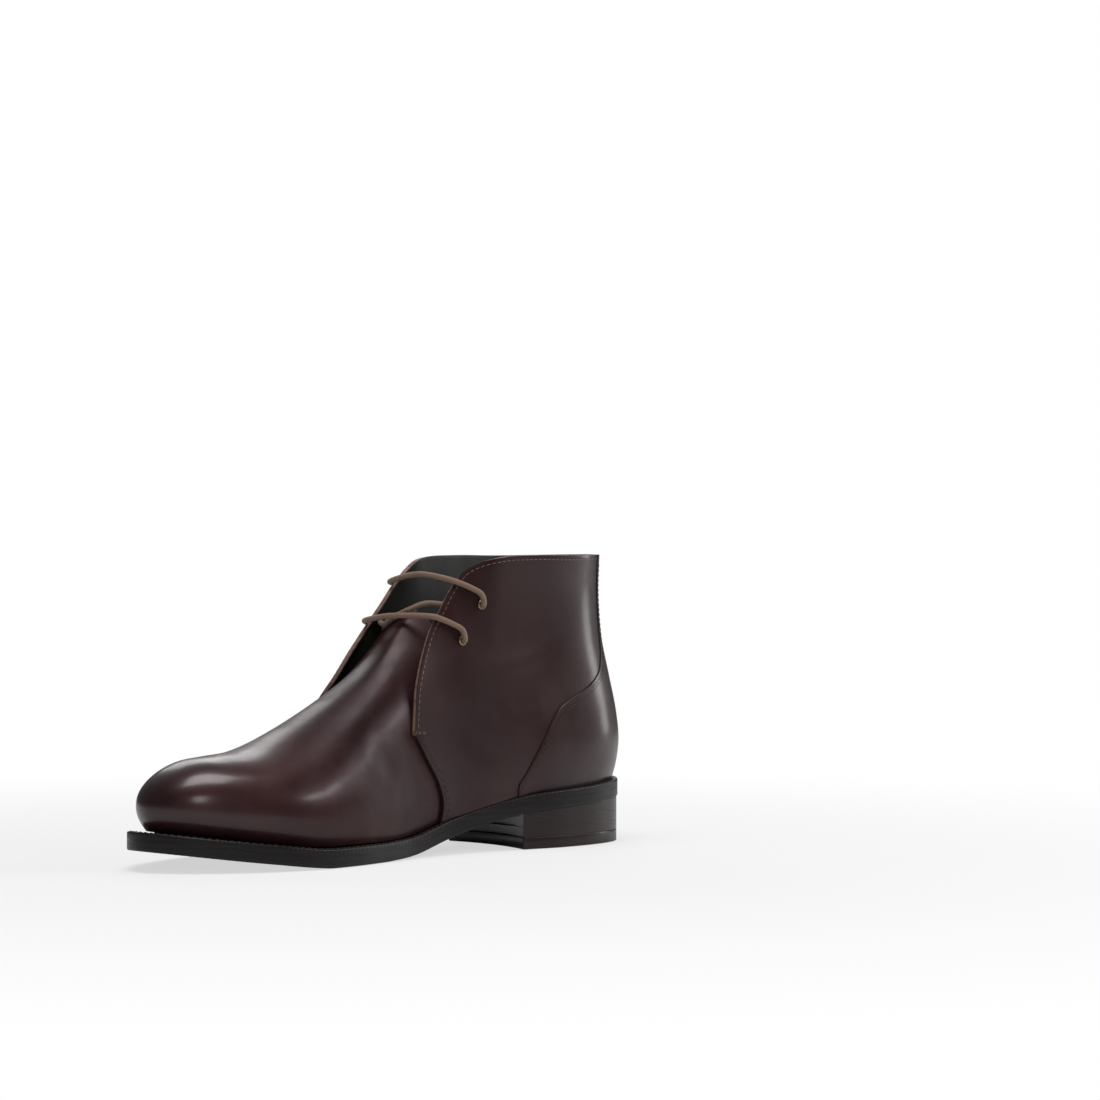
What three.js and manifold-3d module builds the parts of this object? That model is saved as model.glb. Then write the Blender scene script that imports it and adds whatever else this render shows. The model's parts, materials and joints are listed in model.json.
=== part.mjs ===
// Chukka boot for the right foot: a leather upper on a welted leather sole with a stacked heel.
// Millimetres, +Z up, +Y towards the toe, +X towards the outer (little toe) side.
// Inside the tables the boot is measured from the heel's back (y = 0) and from the floor (z = 0).
import * as THREE from 'three';
import { mergeVertices } from 'three/addons/utils/BufferGeometryUtils.js';
import Module from 'manifold-3d';

// Driving sizes
const soleLength = 300;
const ballWidth = 102;
const heelHeight = 23.5;
const toeSpring = 9.7;
const outsoleThickness = 5.0;
const weltThickness = 3.6;
const clearance = 0.3;
const lastLength = 296;
const collarHeight = 146.8;
const collarLength = 109;
const counterWidth = 64;
const toeHeight = 27.4;
const instepHeight = 115;
const toeRounding = 31.5;
const crestFade = 20;
const vampWall = 2.0;
const quarterLap = 1.6;
const quarterLining = 0.6;
const tongueThickness = 1.8;
const tongueHeight = 123;
const insoleRise = 2.6;
const topPieceThickness = 6;
const liftThickness = 5;
const heelLength = 86;
const heelInset = 0.8;
const breastHollow = 5;
const rubberCornerLength = 44;
const rubberStart = 9;
const tongueFlatness = 1.4;
const tongueTuck = 9;
const tongueDrop = 4.2;
const throatInset = 2.2;
const cornerShare = 0.2;
const eyeletDiameter = 5.6;
const eyeletBore = 3.4;
const eyeletThickness = 0.9;
const eyeletSetback = 20;
const laceDiameter = 2.6;

// Shares and powers of the last's curves
const toeRoundness = 2.2;
const tuckLimit = 1.2;
const tuckPivot = 0.675;
const loopRoundness = 2.25;
const ankleRun = 0.55;
const ankleLimit = 1.6;
const ankleBend = 1.8;
const ankleWidth = 0.406;
const seatRun = 0.46;
const wallStart = 0.306;
const wallEnd = 0.58;
const waistStart = 0.331;
const waistEnd = 0.48;
const tongueShoulder = 0.16;
const tongueSideHeight = 0.9;
const throatSkive = 0.3;
const skiveEnd = 0.4;
const hollowStart = 0.55;

const sides = { medial: -1, lateral: 1 };

// Smooth curve through the rows of a table: value of one column at a key.
function readColumn(rows, keyName, valueName, key) {
  const last = rows.length - 1;
  const at = Math.min(Math.max(key, rows[0][keyName]), rows[last][keyName]);
  let i = 0;
  while (i < last - 1 && rows[i + 1][keyName] <= at) i += 1;
  const span = (k) => rows[k + 1][keyName] - rows[k][keyName];
  const rate = (k) => (rows[k + 1][valueName] - rows[k][valueName]) / span(k);
  const slope = (k) => {
    if (k === 0) return rate(0);
    if (k === last) return rate(last - 1);
    return (rate(k - 1) * span(k) + rate(k) * span(k - 1)) / (span(k - 1) + span(k));
  };
  const t = (at - rows[i][keyName]) / span(i);
  return (2 * t ** 3 - 3 * t ** 2 + 1) * rows[i][valueName]
    + (t ** 3 - 2 * t ** 2 + t) * span(i) * slope(i)
    + (-2 * t ** 3 + 3 * t ** 2) * rows[i + 1][valueName]
    + (t ** 3 - t ** 2) * span(i) * slope(i + 1);
}

// Named columns for a short table whose rows are plain lists.
function table(names, rows) {
  return rows.map((row) => Object.fromEntries(names.map((name, i) => [name, row[i]])));
}

function smoothStep(from, to, value) {
  const t = Math.min(Math.max((value - from) / (to - from), 0), 1);
  return t * t * (3 - 2 * t);
}

// Sole outline: shares of the sole's length, and of half the ball's width on each side.
const soleOutline = table(['along', 'medial', 'lateral'], [
  [0, 0, 0],
  [0.02, 0.286, 0.29],
  [0.05, 0.455, 0.463],
  [0.10, 0.584, 0.6],
  [0.16, 0.649, 0.671],
  [0.22, 0.663, 0.706],
  [0.28, 0.614, 0.725],
  [0.36, 0.555, 0.765],
  [0.44, 0.537, 0.833],
  [0.52, 0.608, 0.931],
  [0.60, 0.749, 1.029],
  [0.68, 0.878, 1.069],
  [0.74, 0.927, 1.043],
  [0.80, 0.91, 0.961],
  [0.86, 0.806, 0.824],
  [0.92, 0.629, 0.641],
  [0.96, 0.453, 0.465],
  [0.985, 0.27, 0.29],
  [1, 0, 0],
]).map((row) => ({ ...row, turn: Math.acos(1 - 2 * row.along) / Math.PI }));

// Underside of the outsole: heel pitch as shares of the heel's height, toe spring as shares of its own.
const solePitch = table(['along', 'pitch', 'spring'], [
  [0, 1, 0],
  [0.14, 0.885, 0],
  [0.27, 0.774, 0],
  [0.36, 0.579, 0],
  [0.44, 0.323, 0],
  [0.52, 0.068, 0],
  [0.60, 0, 0],
  [0.74, 0, 0],
  [0.85, 0, 0.37],
  [1, 0, 1],
]);

// How far the last's widest line stands inside the sole's edge, as a share of the sole's half width.
const weltReveal = table(['along', 'share'], [
  [0, 0.03],
  [0.3, 0.024],
  [0.42, 0.02],
  [0.55, 0.05],
  [0.68, 0.08],
  [0.85, 0.1],
  [1, 0.1],
]);

// Cross sections of the last's front. along and crest (its sideways place) are shares of the last's length
// and half the ball's width, ridge of the instep's height, widest and tuck of the toe's height; round and
// square are the powers of the section's curve.
const foreSections = table(['along', 'ridge', 'crest', 'round', 'square', 'widest', 'tuck'], [
  [0.422, 1.27, -0.04, 2.2, 2.0, 0.66, 0.11],
  [0.463, 1.157, -0.06, 2.2, 2.0, 0.66, 0.11],
  [0.507, 1.0, -0.08, 2.2, 2.0, 0.62, 0.11],
  [0.547, 0.843, -0.09, 2.1, 2.0, 0.58, 0.11],
  [0.591, 0.717, -0.1, 2.0, 2.0, 0.55, 0.117],
  [0.642, 0.643, -0.1, 2.0, 2.0, 0.53, 0.124],
  [0.693, 0.581, -0.09, 2.0, 2.0, 0.49, 0.131],
  [0.75, 0.517, -0.07, 2.05, 2.0, 0.47, 0.139],
  [0.811, 0.471, -0.05, 2.15, 2.05, 0.46, 0.146],
  [0.868, 0.455, -0.03, 2.25, 2.1, 0.44, 0.146],
  [0.919, 0.442, -0.02, 2.35, 2.1, 0.42, 0.146],
  [0.959, 0.424, -0.01, 2.4, 2.1, 0.42, 0.146],
  [1, 0.402, 0, 2.4, 2.1, 0.42, 0.146],
]);

// Level loops round the heel and ankle. height is a share of the collar's height, back and widest of the
// collar's length, medial and lateral half widths of half the counter's width.
const heelLoops = table(['height', 'back', 'medial', 'lateral', 'widest'], [
  [0.204, 0.052, 0.888, 0.928, 0.514],
  [0.272, 0.026, 0.944, 0.984, 0.505],
  [0.354, 0.011, 0.956, 1.0, 0.495],
  [0.45, 0.024, 0.925, 0.969, 0.486],
  [0.572, 0.059, 0.856, 0.897, 0.486],
  [0.708, 0.105, 0.825, 0.866, 0.486],
  [0.858, 0.128, 0.844, 0.888, 0.495],
  [1.022, 0.128, 0.919, 0.956, 0.505],
]);

// Front edge of the quarters: the facing, from the collar's front corner down to the V point.
// height is a share of the collar's height, medial and lateral are shares of the last's length.
const facingLine = table(['height', 'medial', 'lateral'], [
  [0.409, 0.53, 0.572],
  [0.477, 0.523, 0.563],
  [0.545, 0.515, 0.553],
  [0.613, 0.502, 0.53],
  [0.681, 0.486, 0.503],
  [0.749, 0.467, 0.477],
  [0.817, 0.443, 0.452],
  [0.886, 0.421, 0.427],
  [0.94, 0.399, 0.402],
]);

// The quarters' front seam, from the V point down and back to the sole.
const quarterSeam = table(['height', 'medial', 'lateral'], [
  [0.12, 0.461, 0.494],
  [0.157, 0.461, 0.495],
  [0.245, 0.476, 0.512],
  [0.32, 0.502, 0.541],
  [0.409, 0.53, 0.572],
]);

// Top line: along is a share of the last's length, height of the collar's height.
const topLine = table(['along', 'height'], [
  [0.04, 1.0],
  [0.17, 0.996],
  [0.27, 0.997],
  [0.33, 0.992],
  [0.365, 0.978],
  [0.385, 0.962],
  [0.403, 0.94],
]);

// Crest of the tongue between the facings: place along the last and sideways, and height above the floor,
// as shares of the last's length, half the ball's width and the tongue's height.
const tongueCrest = table(['rise', 'along', 'height', 'across'], [
  [0, 0.582, 0.683, -0.1],
  [0.12, 0.563, 0.72, -0.095],
  [0.3, 0.534, 0.78, -0.08],
  [0.6, 0.496, 0.875, -0.05],
  [1, 0.449, 1.0, -0.03],
]);

function sideName(side) {
  return side < 0 ? 'medial' : 'lateral';
}

function soleHalf(side, y) {
  const turn = Math.acos(1 - 2 * Math.min(Math.max(y / soleLength, 0), 1)) / Math.PI;
  return Math.max(readColumn(soleOutline, 'turn', sideName(side), turn), 0) * ballWidth / 2;
}

function soleBottom(y) {
  const along = y / soleLength;
  const height = readColumn(solePitch, 'along', 'pitch', along) * heelHeight
    + readColumn(solePitch, 'along', 'spring', along) * toeSpring;
  return Math.max(height, 0);
}

function weltTop(y) {
  return soleBottom(y) + outsoleThickness + clearance + weltThickness;
}

function featherHeight(y) {
  return weltTop(y) + clearance;
}

function lastHalf(side, y) {
  if (y > lastLength) return 0;
  const along = Math.max(y, 0) / lastLength;
  return soleHalf(side, along * soleLength) * (1 - readColumn(weltReveal, 'along', 'share', along));
}

function foreColumn(name, y) {
  return readColumn(foreSections, 'along', name, y / lastLength);
}

function widestHeight(y) {
  return featherHeight(y) + foreColumn('widest', y) * toeHeight;
}

function ridgeHeight(y) {
  const full = foreColumn('ridge', y) * instepHeight;
  const t = Math.min(Math.max((y - lastLength + toeRounding) / toeRounding, 0), 1);
  return widestHeight(y) + (full - widestHeight(y)) * Math.sqrt(Math.max(1 - t ** toeRoundness, 0));
}

function crestX(y) {
  const fade = Math.min(Math.max((lastLength - y) / crestFade, 0), 1);
  return foreColumn('crest', y) * ballWidth / 2 * fade;
}

function tuckDepth(y, z) {
  const low = (widestHeight(y) - z) / (widestHeight(y) - featherHeight(y));
  return foreColumn('tuck', y) * toeHeight * Math.min(Math.max(low, 0), tuckLimit) ** 2;
}

// Half section of the last's front at (y, z): tucked in towards the welt, a rounded arch above.
function foreX(side, y, z) {
  const center = crestX(y);
  const ridge = ridgeHeight(y);
  const widest = Math.min(widestHeight(y), ridge - 0.01);
  if (z >= widest) {
    const rise = Math.min((z - widest) / (ridge - widest), 1);
    const arch = Math.max(1 - rise ** foreColumn('round', y), 0) ** (1 / foreColumn('square', y));
    return center + side * Math.max(lastHalf(side, y) - side * center, 0) * arch;
  }
  const tuck = tuckDepth(y, z);
  const pivot = lastLength * tuckPivot;
  const drawn = y > pivot ? pivot + (y - pivot) * (lastLength - pivot) / (lastLength - pivot - tuck) : y;
  return center + side * Math.max(lastHalf(side, drawn) - side * center - tuck, 0);
}

function loopColumn(name, z) {
  return readColumn(heelLoops, 'height', name, z / collarHeight);
}

function backY(z) {
  return loopColumn('back', z) * collarLength;
}

// Level loop of the heel and ankle at height z.
function rearX(side, y, z) {
  const back = backY(z);
  const half = loopColumn(sideName(side), z) * counterWidth / 2;
  const reach = loopColumn('widest', z) * collarLength;
  const u = Math.min(Math.max((y - back) / reach, 0), 1);
  if (u < 1) return side * half * Math.sqrt(Math.max(1 - (1 - u) ** loopRoundness, 0));
  const ahead = Math.min((y - back - reach) / (collarLength * ankleRun), ankleLimit);
  const high = half - (half - counterWidth * ankleWidth) * ahead ** ankleBend;
  const keep = 1 - smoothStep(back + reach, back + reach + collarLength * seatRun, y);
  const low = lastHalf(side, y) - (lastHalf(side, back + reach) - half) * keep;
  const blend = smoothStep(collarHeight * wallStart, collarHeight * wallEnd, z);
  return side * (low * (1 - blend) + high * blend);
}

// The boot's outer form: sideways place of the surface at a point of the side view.
function bootX(side, y, z) {
  const blend = smoothStep(lastLength * waistStart, lastLength * waistEnd, y);
  if (blend <= 0) return rearX(side, y, z);
  if (blend >= 1) return foreX(side, y, z);
  return rearX(side, y, z) * (1 - blend) + foreX(side, y, z) * blend;
}

function surfacePoint(side, y, z) {
  return new THREE.Vector3(bootX(side, y, z), y, z);
}

// Side view curves, each a list of [y, z] respaced evenly and read at a share of its length.
function curve(points) {
  const path = new THREE.CurvePath();
  for (let i = 1; i < points.length; i += 1) {
    path.add(new THREE.LineCurve(new THREE.Vector2(...points[i - 1]), new THREE.Vector2(...points[i])));
  }
  return (share) => path.getPointAt(Math.min(Math.max(share, 0), 1));
}

function spread(count, point) {
  return Array.from({ length: count + 1 }, (_, i) => point(i / count));
}

function edgeWeight(share) {
  return Math.sin(share * Math.PI / 2);
}

const throatY = tongueCrest[0].along * lastLength;

function tipY(z) {
  return lastLength - tuckDepth(lastLength, z);
}

function featherTip() {
  return tipY(featherHeight(lastLength));
}

// Toe to throat along the ridge, from the feather line up.
function ridgeCurve() {
  const low = spread(8, (t) => {
    const z = featherHeight(lastLength) + t * (widestHeight(lastLength) - featherHeight(lastLength));
    return [tipY(z), z];
  });
  const high = spread(90, (t) => {
    const y = lastLength - (lastLength - throatY) * t ** 2;
    return [y, ridgeHeight(y)];
  });
  return curve([...low, ...high.slice(1)]);
}

function tableCurve(rows, side, from, to) {
  return spread(40, (t) => {
    const height = from + (to - from) * t;
    return [readColumn(rows, 'height', sideName(side), height) * lastLength, height * collarHeight];
  });
}

const vHeight = quarterSeam[quarterSeam.length - 1].height;
const cornerHeight = facingLine[facingLine.length - 1].height;

function seamFoot(side) {
  const y = quarterSeam[0][sideName(side)] * lastLength;
  return [y, featherHeight(y)];
}

function seamCurve(side) {
  const foot = seamFoot(side);
  return curve([foot, ...tableCurve(quarterSeam, side, foot[1] / collarHeight, vHeight).slice(1)]);
}

function facingCurve(side) {
  return curve(tableCurve(facingLine, side, vHeight, cornerHeight));
}

function vPoint(side) {
  const row = quarterSeam[quarterSeam.length - 1];
  return [row[sideName(side)] * lastLength, row.height * collarHeight];
}

function throatCurve(side) {
  return curve([vPoint(side), [throatY, ridgeHeight(throatY)]]);
}

function featherCurve(from, to) {
  return curve(spread(60, (t) => {
    const y = from + (to - from) * Math.sin(t * Math.PI / 2);
    return [y, featherHeight(y)];
  }));
}

function heelCurve() {
  const foot = featherHeight(backY(0));
  return curve(spread(40, (t) => {
    const z = foot + (topLine[0].height * collarHeight - foot) * t;
    return [backY(z), z];
  }));
}

function topCurve(side) {
  const corner = facingCurve(side)(1);
  const start = heelCurve()(1);
  return curve(spread(60, (t) => {
    const along = topLine[0].along + (topLine[topLine.length - 1].along - topLine[0].along) * t;
    const stretch = (corner.x - start.x) / ((topLine[topLine.length - 1].along - topLine[0].along) * lastLength);
    const y = start.x + (along - topLine[0].along) * lastLength * stretch;
    return [y, readColumn(topLine, 'along', 'height', along) * collarHeight];
  }));
}

// Four sided patch between side view curves.
function patch(low, high, left, right, columns, rows, columnShare, rowShare) {
  const corner = { a: left(0), b: right(0), c: left(1), d: right(1) };
  return Array.from({ length: rows + 1 }, (_, j) => {
    const v = rowShare(j / rows);
    return Array.from({ length: columns + 1 }, (__, i) => {
      const u = columnShare(i / columns);
      const point = new THREE.Vector2();
      point.addScaledVector(low(u), 1 - v).addScaledVector(high(u), v);
      point.addScaledVector(left(v), 1 - u).addScaledVector(right(v), u);
      point.addScaledVector(corner.a, -(1 - u) * (1 - v)).addScaledVector(corner.b, -u * (1 - v));
      point.addScaledVector(corner.c, -(1 - u) * v).addScaledVector(corner.d, -u * v);
      return point;
    });
  });
}

// A sheet of points joined where they coincide, thickened later into a wall. Each face has a zone.
class Sheet {
  constructor() {
    this.points = [];
    this.inward = [];
    this.level = [];
    this.keys = new Map();
    this.faces = [];
  }

  add({ point, inward, level }) {
    const key = [point.x, point.y, point.z].map((value) => Math.round(value * 500)).join(',');
    if (!this.keys.has(key)) {
      this.keys.set(key, this.points.length);
      this.points.push(point.clone());
      this.inward.push(inward);
      this.level.push(level);
    }
    return this.keys.get(key);
  }

  face(a, b, c, zone) {
    if (a !== b && b !== c && a !== c) this.faces.push({ corners: [a, b, c], zone });
  }

  // grid[row][column] of { point, inward, level }: level edges are thickened sideways only.
  grid(grid, zone, flipped) {
    const ids = grid.map((row) => row.map((corner) => this.add(corner)));
    for (let j = 0; j + 1 < ids.length; j += 1) {
      for (let i = 0; i + 1 < ids[j].length; i += 1) {
        const [a, b, c, d] = [ids[j][i], ids[j][i + 1], ids[j + 1][i + 1], ids[j + 1][i]];
        if (flipped) {
          this.face(a, c, b, zone);
          this.face(a, d, c, zone);
        } else {
          this.face(a, b, c, zone);
          this.face(a, c, d, zone);
        }
      }
    }
  }

  normals() {
    const normals = this.points.map(() => new THREE.Vector3());
    for (const { corners } of this.faces) {
      const [a, b, c] = corners.map((id) => this.points[id]);
      const normal = b.clone().sub(a).cross(c.clone().sub(a));
      corners.forEach((id) => normals[id].add(normal));
    }
    return normals.map((normal, id) => {
      if (this.level[id]) normal.z = 0;
      return normal.normalize();
    });
  }

  // Closed solid: outer skin raised by each zone's height, inner skin let in by each point's depth.
  thicken(raise) {
    const normals = this.normals();
    const zones = this.points.map(() => new Set());
    this.faces.forEach(({ corners, zone }) => corners.forEach((id) => zones[id].add(zone)));
    const vertices = [];
    const push = (id, height) => {
      const p = this.points[id].clone().addScaledVector(normals[id], height);
      vertices.push(p.x, p.y, p.z);
      return vertices.length / 3 - 1;
    };
    const outer = zones.map((set, id) => new Map([...set].sort().map((zone) => [zone, push(id, raise[zone])])));
    const inner = this.points.map((_, id) => push(id, -this.inward[id]));
    const index = [];
    const edges = new Map();
    for (const { corners, zone } of this.faces) {
      index.push(...corners.map((id) => outer[id].get(zone)));
      index.push(...[corners[0], corners[2], corners[1]].map((id) => inner[id]));
      corners.forEach((a, k) => edges.set(`${a},${corners[(k + 1) % 3]}`, zone));
    }
    for (const [key, zone] of edges) {
      const [a, b] = key.split(',').map(Number);
      const other = edges.get(`${b},${a}`);
      if (other === undefined) {
        const lower = Object.keys(raise).filter((name) => raise[name] < raise[zone]);
        const between = (id) => lower.filter((name) => zones[id].has(name)).map((name) => outer[id].get(name));
        const ring = [outer[b].get(zone), outer[a].get(zone), ...between(a), inner[a], inner[b], ...between(b)];
        for (let k = 1; k + 1 < ring.length; k += 1) index.push(ring[0], ring[k], ring[k + 1]);
      } else if (raise[zone] > raise[other]) {
        const ring = [outer[b].get(zone), outer[a].get(zone), outer[a].get(other), outer[b].get(other)];
        index.push(ring[0], ring[1], ring[2], ring[0], ring[2], ring[3]);
      }
    }
    return solidGeometry(vertices, index);
  }
}

function solidGeometry(vertices, index) {
  const geometry = new THREE.BufferGeometry();
  geometry.setAttribute('position', new THREE.Float32BufferAttribute(vertices, 3));
  geometry.setIndex(index);
  return mergeVertices(geometry, 1e-4);
}

const vampColumns = 22;
const quarterColumns = 15;
const seamRows = 10;
const facingRows = 8;

function lowWeight(share) {
  return share ** 1.4;
}

// Upper: vamp in front, quarters and back lapping over it by a step along their front seam.
function upperGeometry() {
  const sheet = new Sheet();
  for (const side of Object.values(sides)) {
    const outward = side > 0;
    const foot = seamFoot(side);
    const seam = seamCurve(side);
    const vamp = patch(featherCurve(foot[0], featherTip()), throatCurve(side), seam, ridgeCurve(),
      vampColumns, seamRows, edgeWeight, lowWeight);
    const vampGrid = vamp.map((row, j) => row.map((point) => (
      { point: surfacePoint(side, point.x, point.y), inward: vampWall, level: j === 0 })));
    vampGrid.forEach((row) => {
      const ridge = row[row.length - 1].point;
      ridge.x = crestX(ridge.y);
    });
    sheet.grid(vampGrid, 'vamp', !outward);
    const facing = facingCurve(side);
    const rows = seamRows + facingRows;
    const front = (v) => {
      const row = v * rows;
      return row <= seamRows ? seam(lowWeight(row / seamRows)) : facing((row - seamRows) / facingRows);
    };
    const heel = heelCurve();
    const quarter = patch(featherCurve(backY(0), foot[0]), topCurve(side), heel, front,
      quarterColumns, rows, (u) => 1 - edgeWeight(1 - u), (v) => v);
    const quarterGrid = quarter.map((row, j) => row.map((point, i) => {
      const onSeam = i === row.length - 1 && j <= seamRows;
      const inward = onSeam ? vampWall : quarterLining;
      return { point: surfacePoint(side, point.x, point.y), inward, level: j === 0 || j === rows };
    }));
    quarterGrid.forEach((row) => { row[0].point.x = 0; });
    sheet.grid(quarterGrid, 'quarter', !outward);
  }
  return sheet.thicken({ vamp: 0, quarter: quarterLap });
}

function outerFrame(side, y, z) {
  const step = 0.5;
  const dy = surfacePoint(side, y + step, z).sub(surfacePoint(side, y - step, z));
  const dz = surfacePoint(side, y, z + step).sub(surfacePoint(side, y, z - step));
  const normal = dy.cross(dz).normalize().multiplyScalar(side);
  return { point: surfacePoint(side, y, z), normal };
}

function facingY(side, z) {
  return readColumn(facingLine, 'height', sideName(side), z / collarHeight) * lastLength;
}

function tongueTop(rise) {
  return new THREE.Vector3(
    readColumn(tongueCrest, 'rise', 'across', rise) * ballWidth / 2,
    readColumn(tongueCrest, 'rise', 'along', rise) * lastLength,
    readColumn(tongueCrest, 'rise', 'height', rise) * tongueHeight,
  );
}

// Side edge of the tongue, tucked under the facing.
function tongueEdge(side, share) {
  const [, foot] = vPoint(side);
  const corner = cornerShare / 2;
  const z = foot + (tongueHeight * tongueSideHeight - foot) * (corner + (1 - corner) * share);
  const under = smoothStep(tongueShoulder, 0.5, share) * tongueTuck - throatInset;
  const y = facingY(side, z) - under;
  const { point, normal } = outerFrame(side, y, z);
  return point.addScaledVector(normal, -tongueDrop * smoothStep(0, tongueShoulder, share));
}

// Tongue: starts at the vamp's throat and runs up under both facings. across is 0 at its crest, 1 at its edge.
function tonguePoint(side, across, rise) {
  const arch = (edge, top) => {
    const round = 1 - across ** tongueFlatness;
    return new THREE.Vector3(
      top.x + (edge.x - top.x) * across,
      edge.y + (top.y - edge.y) * round,
      edge.z + (top.z - edge.z) * round,
    );
  };
  const crest = new THREE.Vector3(crestX(throatY), throatY, ridgeHeight(throatY));
  const throat = throatCurve(side)(1 - across * (1 - cornerShare));
  const throatPoint = across === 0 ? crest.clone() : surfacePoint(side, throat.x, throat.y);
  const settle = throatPoint.sub(arch(tongueEdge(side, 0), crest));
  return arch(tongueEdge(side, rise), tongueTop(rise)).addScaledVector(settle, (1 - rise) ** 3);
}

function tongueGeometry() {
  const sheet = new Sheet();
  const rows = 10;
  const columns = 8;
  const throatGap = clearance * 4 / (tongueHeight - ridgeHeight(throatY));
  for (const side of Object.values(sides)) {
    const grid = Array.from({ length: rows + 1 }, (_, j) => Array.from({ length: columns + 1 }, (__, i) => {
      const rise = throatGap + (1 - throatGap) * j / rows;
      const skive = throatSkive + (1 - throatSkive) * smoothStep(0, skiveEnd, rise);
      return { point: tonguePoint(side, i / columns, rise), inward: tongueThickness * skive };
    }));
    sheet.grid(grid, 'tongue', side > 0);
  }
  return sheet.thicken({ tongue: 0 });
}

// Plan outlines as pairs of points, one on each side, from the heel's back to the toe.
function outlinePairs(from, to, half, count) {
  return Array.from({ length: count + 1 }, (_, i) => {
    const y = from + (to - from) * (1 - Math.cos(Math.PI * i / count)) / 2;
    const ends = i === 0 || i === count;
    return { medial: [ends ? 0 : -half(-1, y), y], lateral: [ends ? 0 : half(1, y), y] };
  });
}

// Solid plate between two heights over an outline, with a few points across each row.
function plateGeometry(pairs, bottom, top, across = 2) {
  const vertices = [];
  const index = [];
  const layer = (height) => pairs.map(({ medial, lateral }) => Array.from({ length: across + 1 }, (_, k) => {
    const t = k / across;
    const x = medial[0] + (lateral[0] - medial[0]) * t;
    const y = medial[1] + (lateral[1] - medial[1]) * t;
    vertices.push(x, y, height(y, x));
    return vertices.length / 3 - 1;
  }));
  const low = layer(bottom);
  const high = layer(top);
  const quad = (a, b, c, d) => index.push(a, b, c, a, c, d);
  for (let i = 0; i + 1 < pairs.length; i += 1) {
    for (let k = 0; k < across; k += 1) {
      quad(high[i][k], high[i][k + 1], high[i + 1][k + 1], high[i + 1][k]);
      quad(low[i][k], low[i + 1][k], low[i + 1][k + 1], low[i][k + 1]);
    }
    quad(low[i][across], low[i + 1][across], high[i + 1][across], high[i][across]);
    quad(low[i + 1][0], low[i][0], high[i][0], high[i + 1][0]);
  }
  for (let k = 0; k < across; k += 1) {
    const end = pairs.length - 1;
    quad(low[0][k], low[0][k + 1], high[0][k + 1], high[0][k]);
    quad(low[end][k + 1], low[end][k], high[end][k], high[end][k + 1]);
  }
  return withoutFlatFaces(vertices, index);
}

// Joins coinciding points and drops faces that have shrunk to a line.
function withoutFlatFaces(vertices, index) {
  const merged = solidGeometry(vertices, index);
  const old = merged.getIndex().array;
  const kept = [];
  for (let i = 0; i < old.length; i += 3) {
    const [a, b, c] = [old[i], old[i + 1], old[i + 2]];
    if (a !== b && b !== c && a !== c) kept.push(a, b, c);
  }
  merged.setIndex(kept);
  return merged;
}

// Flat ring between two outlines with the same number of points.
function ringGeometry(outerPairs, innerPairs, bottom, top) {
  const loop = (pairs) => [
    ...pairs.map((pair) => pair.lateral), ...pairs.slice(1, -1).reverse().map((pair) => pair.medial),
  ];
  const outer = loop(outerPairs);
  const inner = loop(innerPairs);
  const vertices = [];
  const index = [];
  outer.forEach((_, i) => {
    const [ox, oy] = outer[i];
    const [ix, iy] = inner[i];
    vertices.push(ox, oy, bottom(oy), ox, oy, top(oy), ix, iy, top(iy), ix, iy, bottom(iy));
  });
  outer.forEach((_, i) => {
    const a = i * 4;
    const b = ((i + 1) % outer.length) * 4;
    for (let k = 0; k < 4; k += 1) {
      const next = (k + 1) % 4;
      index.push(a + k, b + k, b + next, a + k, b + next, a + next);
    }
  });
  return solidGeometry(vertices, index);
}

const outlineCount = 40;
const solePairs = outlinePairs(0, soleLength, soleHalf, outlineCount);

// The upper's lower edge drawn in towards its middle line by a distance at the heel's sides and both ends.
function featherPairs(inset) {
  const back = backY(0);
  const tip = featherTip();
  const shrink = 1 - inset / (counterWidth / 2);
  const half = (side, y) => {
    const share = (y - back - inset) / (tip - back - 2 * inset);
    const edgeY = back + (tip - back) * share;
    return Math.abs(bootX(side, edgeY, featherHeight(edgeY))) * shrink;
  };
  return outlinePairs(back + inset, tip - inset, half, outlineCount);
}

const innerPairs = featherPairs(vampWall + 1);
const insolePairs = featherPairs(vampWall + 1 + clearance * 2);

function outsoleTop(y) {
  return soleBottom(y) + outsoleThickness;
}

// Heel: breast line bowed towards the back, lifts stacked under the outsole's seat.
function breastY(side, half) {
  const slant = side < 0 ? 1 : 0.9;
  return heelLength * slant - breastHollow * (1 - half ** 2);
}

function heelPairs() {
  const count = 16;
  return Array.from({ length: count + 1 }, (_, i) => {
    const share = 1 - Math.cos(Math.PI / 2 * i / count);
    const row = {};
    for (const [name, side] of Object.entries(sides)) {
      const y = heelInset + (breastY(side, 1) - heelInset) * share;
      row[name] = [i === 0 ? 0 : side * Math.max(soleHalf(side, y) - heelInset, 0), y];
    }
    return row;
  });
}

// Plate of the heel; its front edge is hollowed by pulling the rows back near the middle.
function heelPlate(pairs, bottom, top) {
  const geometry = plateGeometry(pairs, bottom, top, 6);
  const position = geometry.getAttribute('position');
  for (let i = 0; i < position.count; i += 1) {
    const x = position.getX(i);
    const y = position.getY(i);
    const side = Math.sign(x) || 1;
    const reach = Math.min(Math.abs(x) / Math.max(soleHalf(side, y) - heelInset, 1), 1);
    const depth = smoothStep(heelLength * hollowStart, heelLength, y);
    position.setY(i, y - breastHollow * (1 - reach ** 2) * depth);
  }
  return geometry;
}

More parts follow.
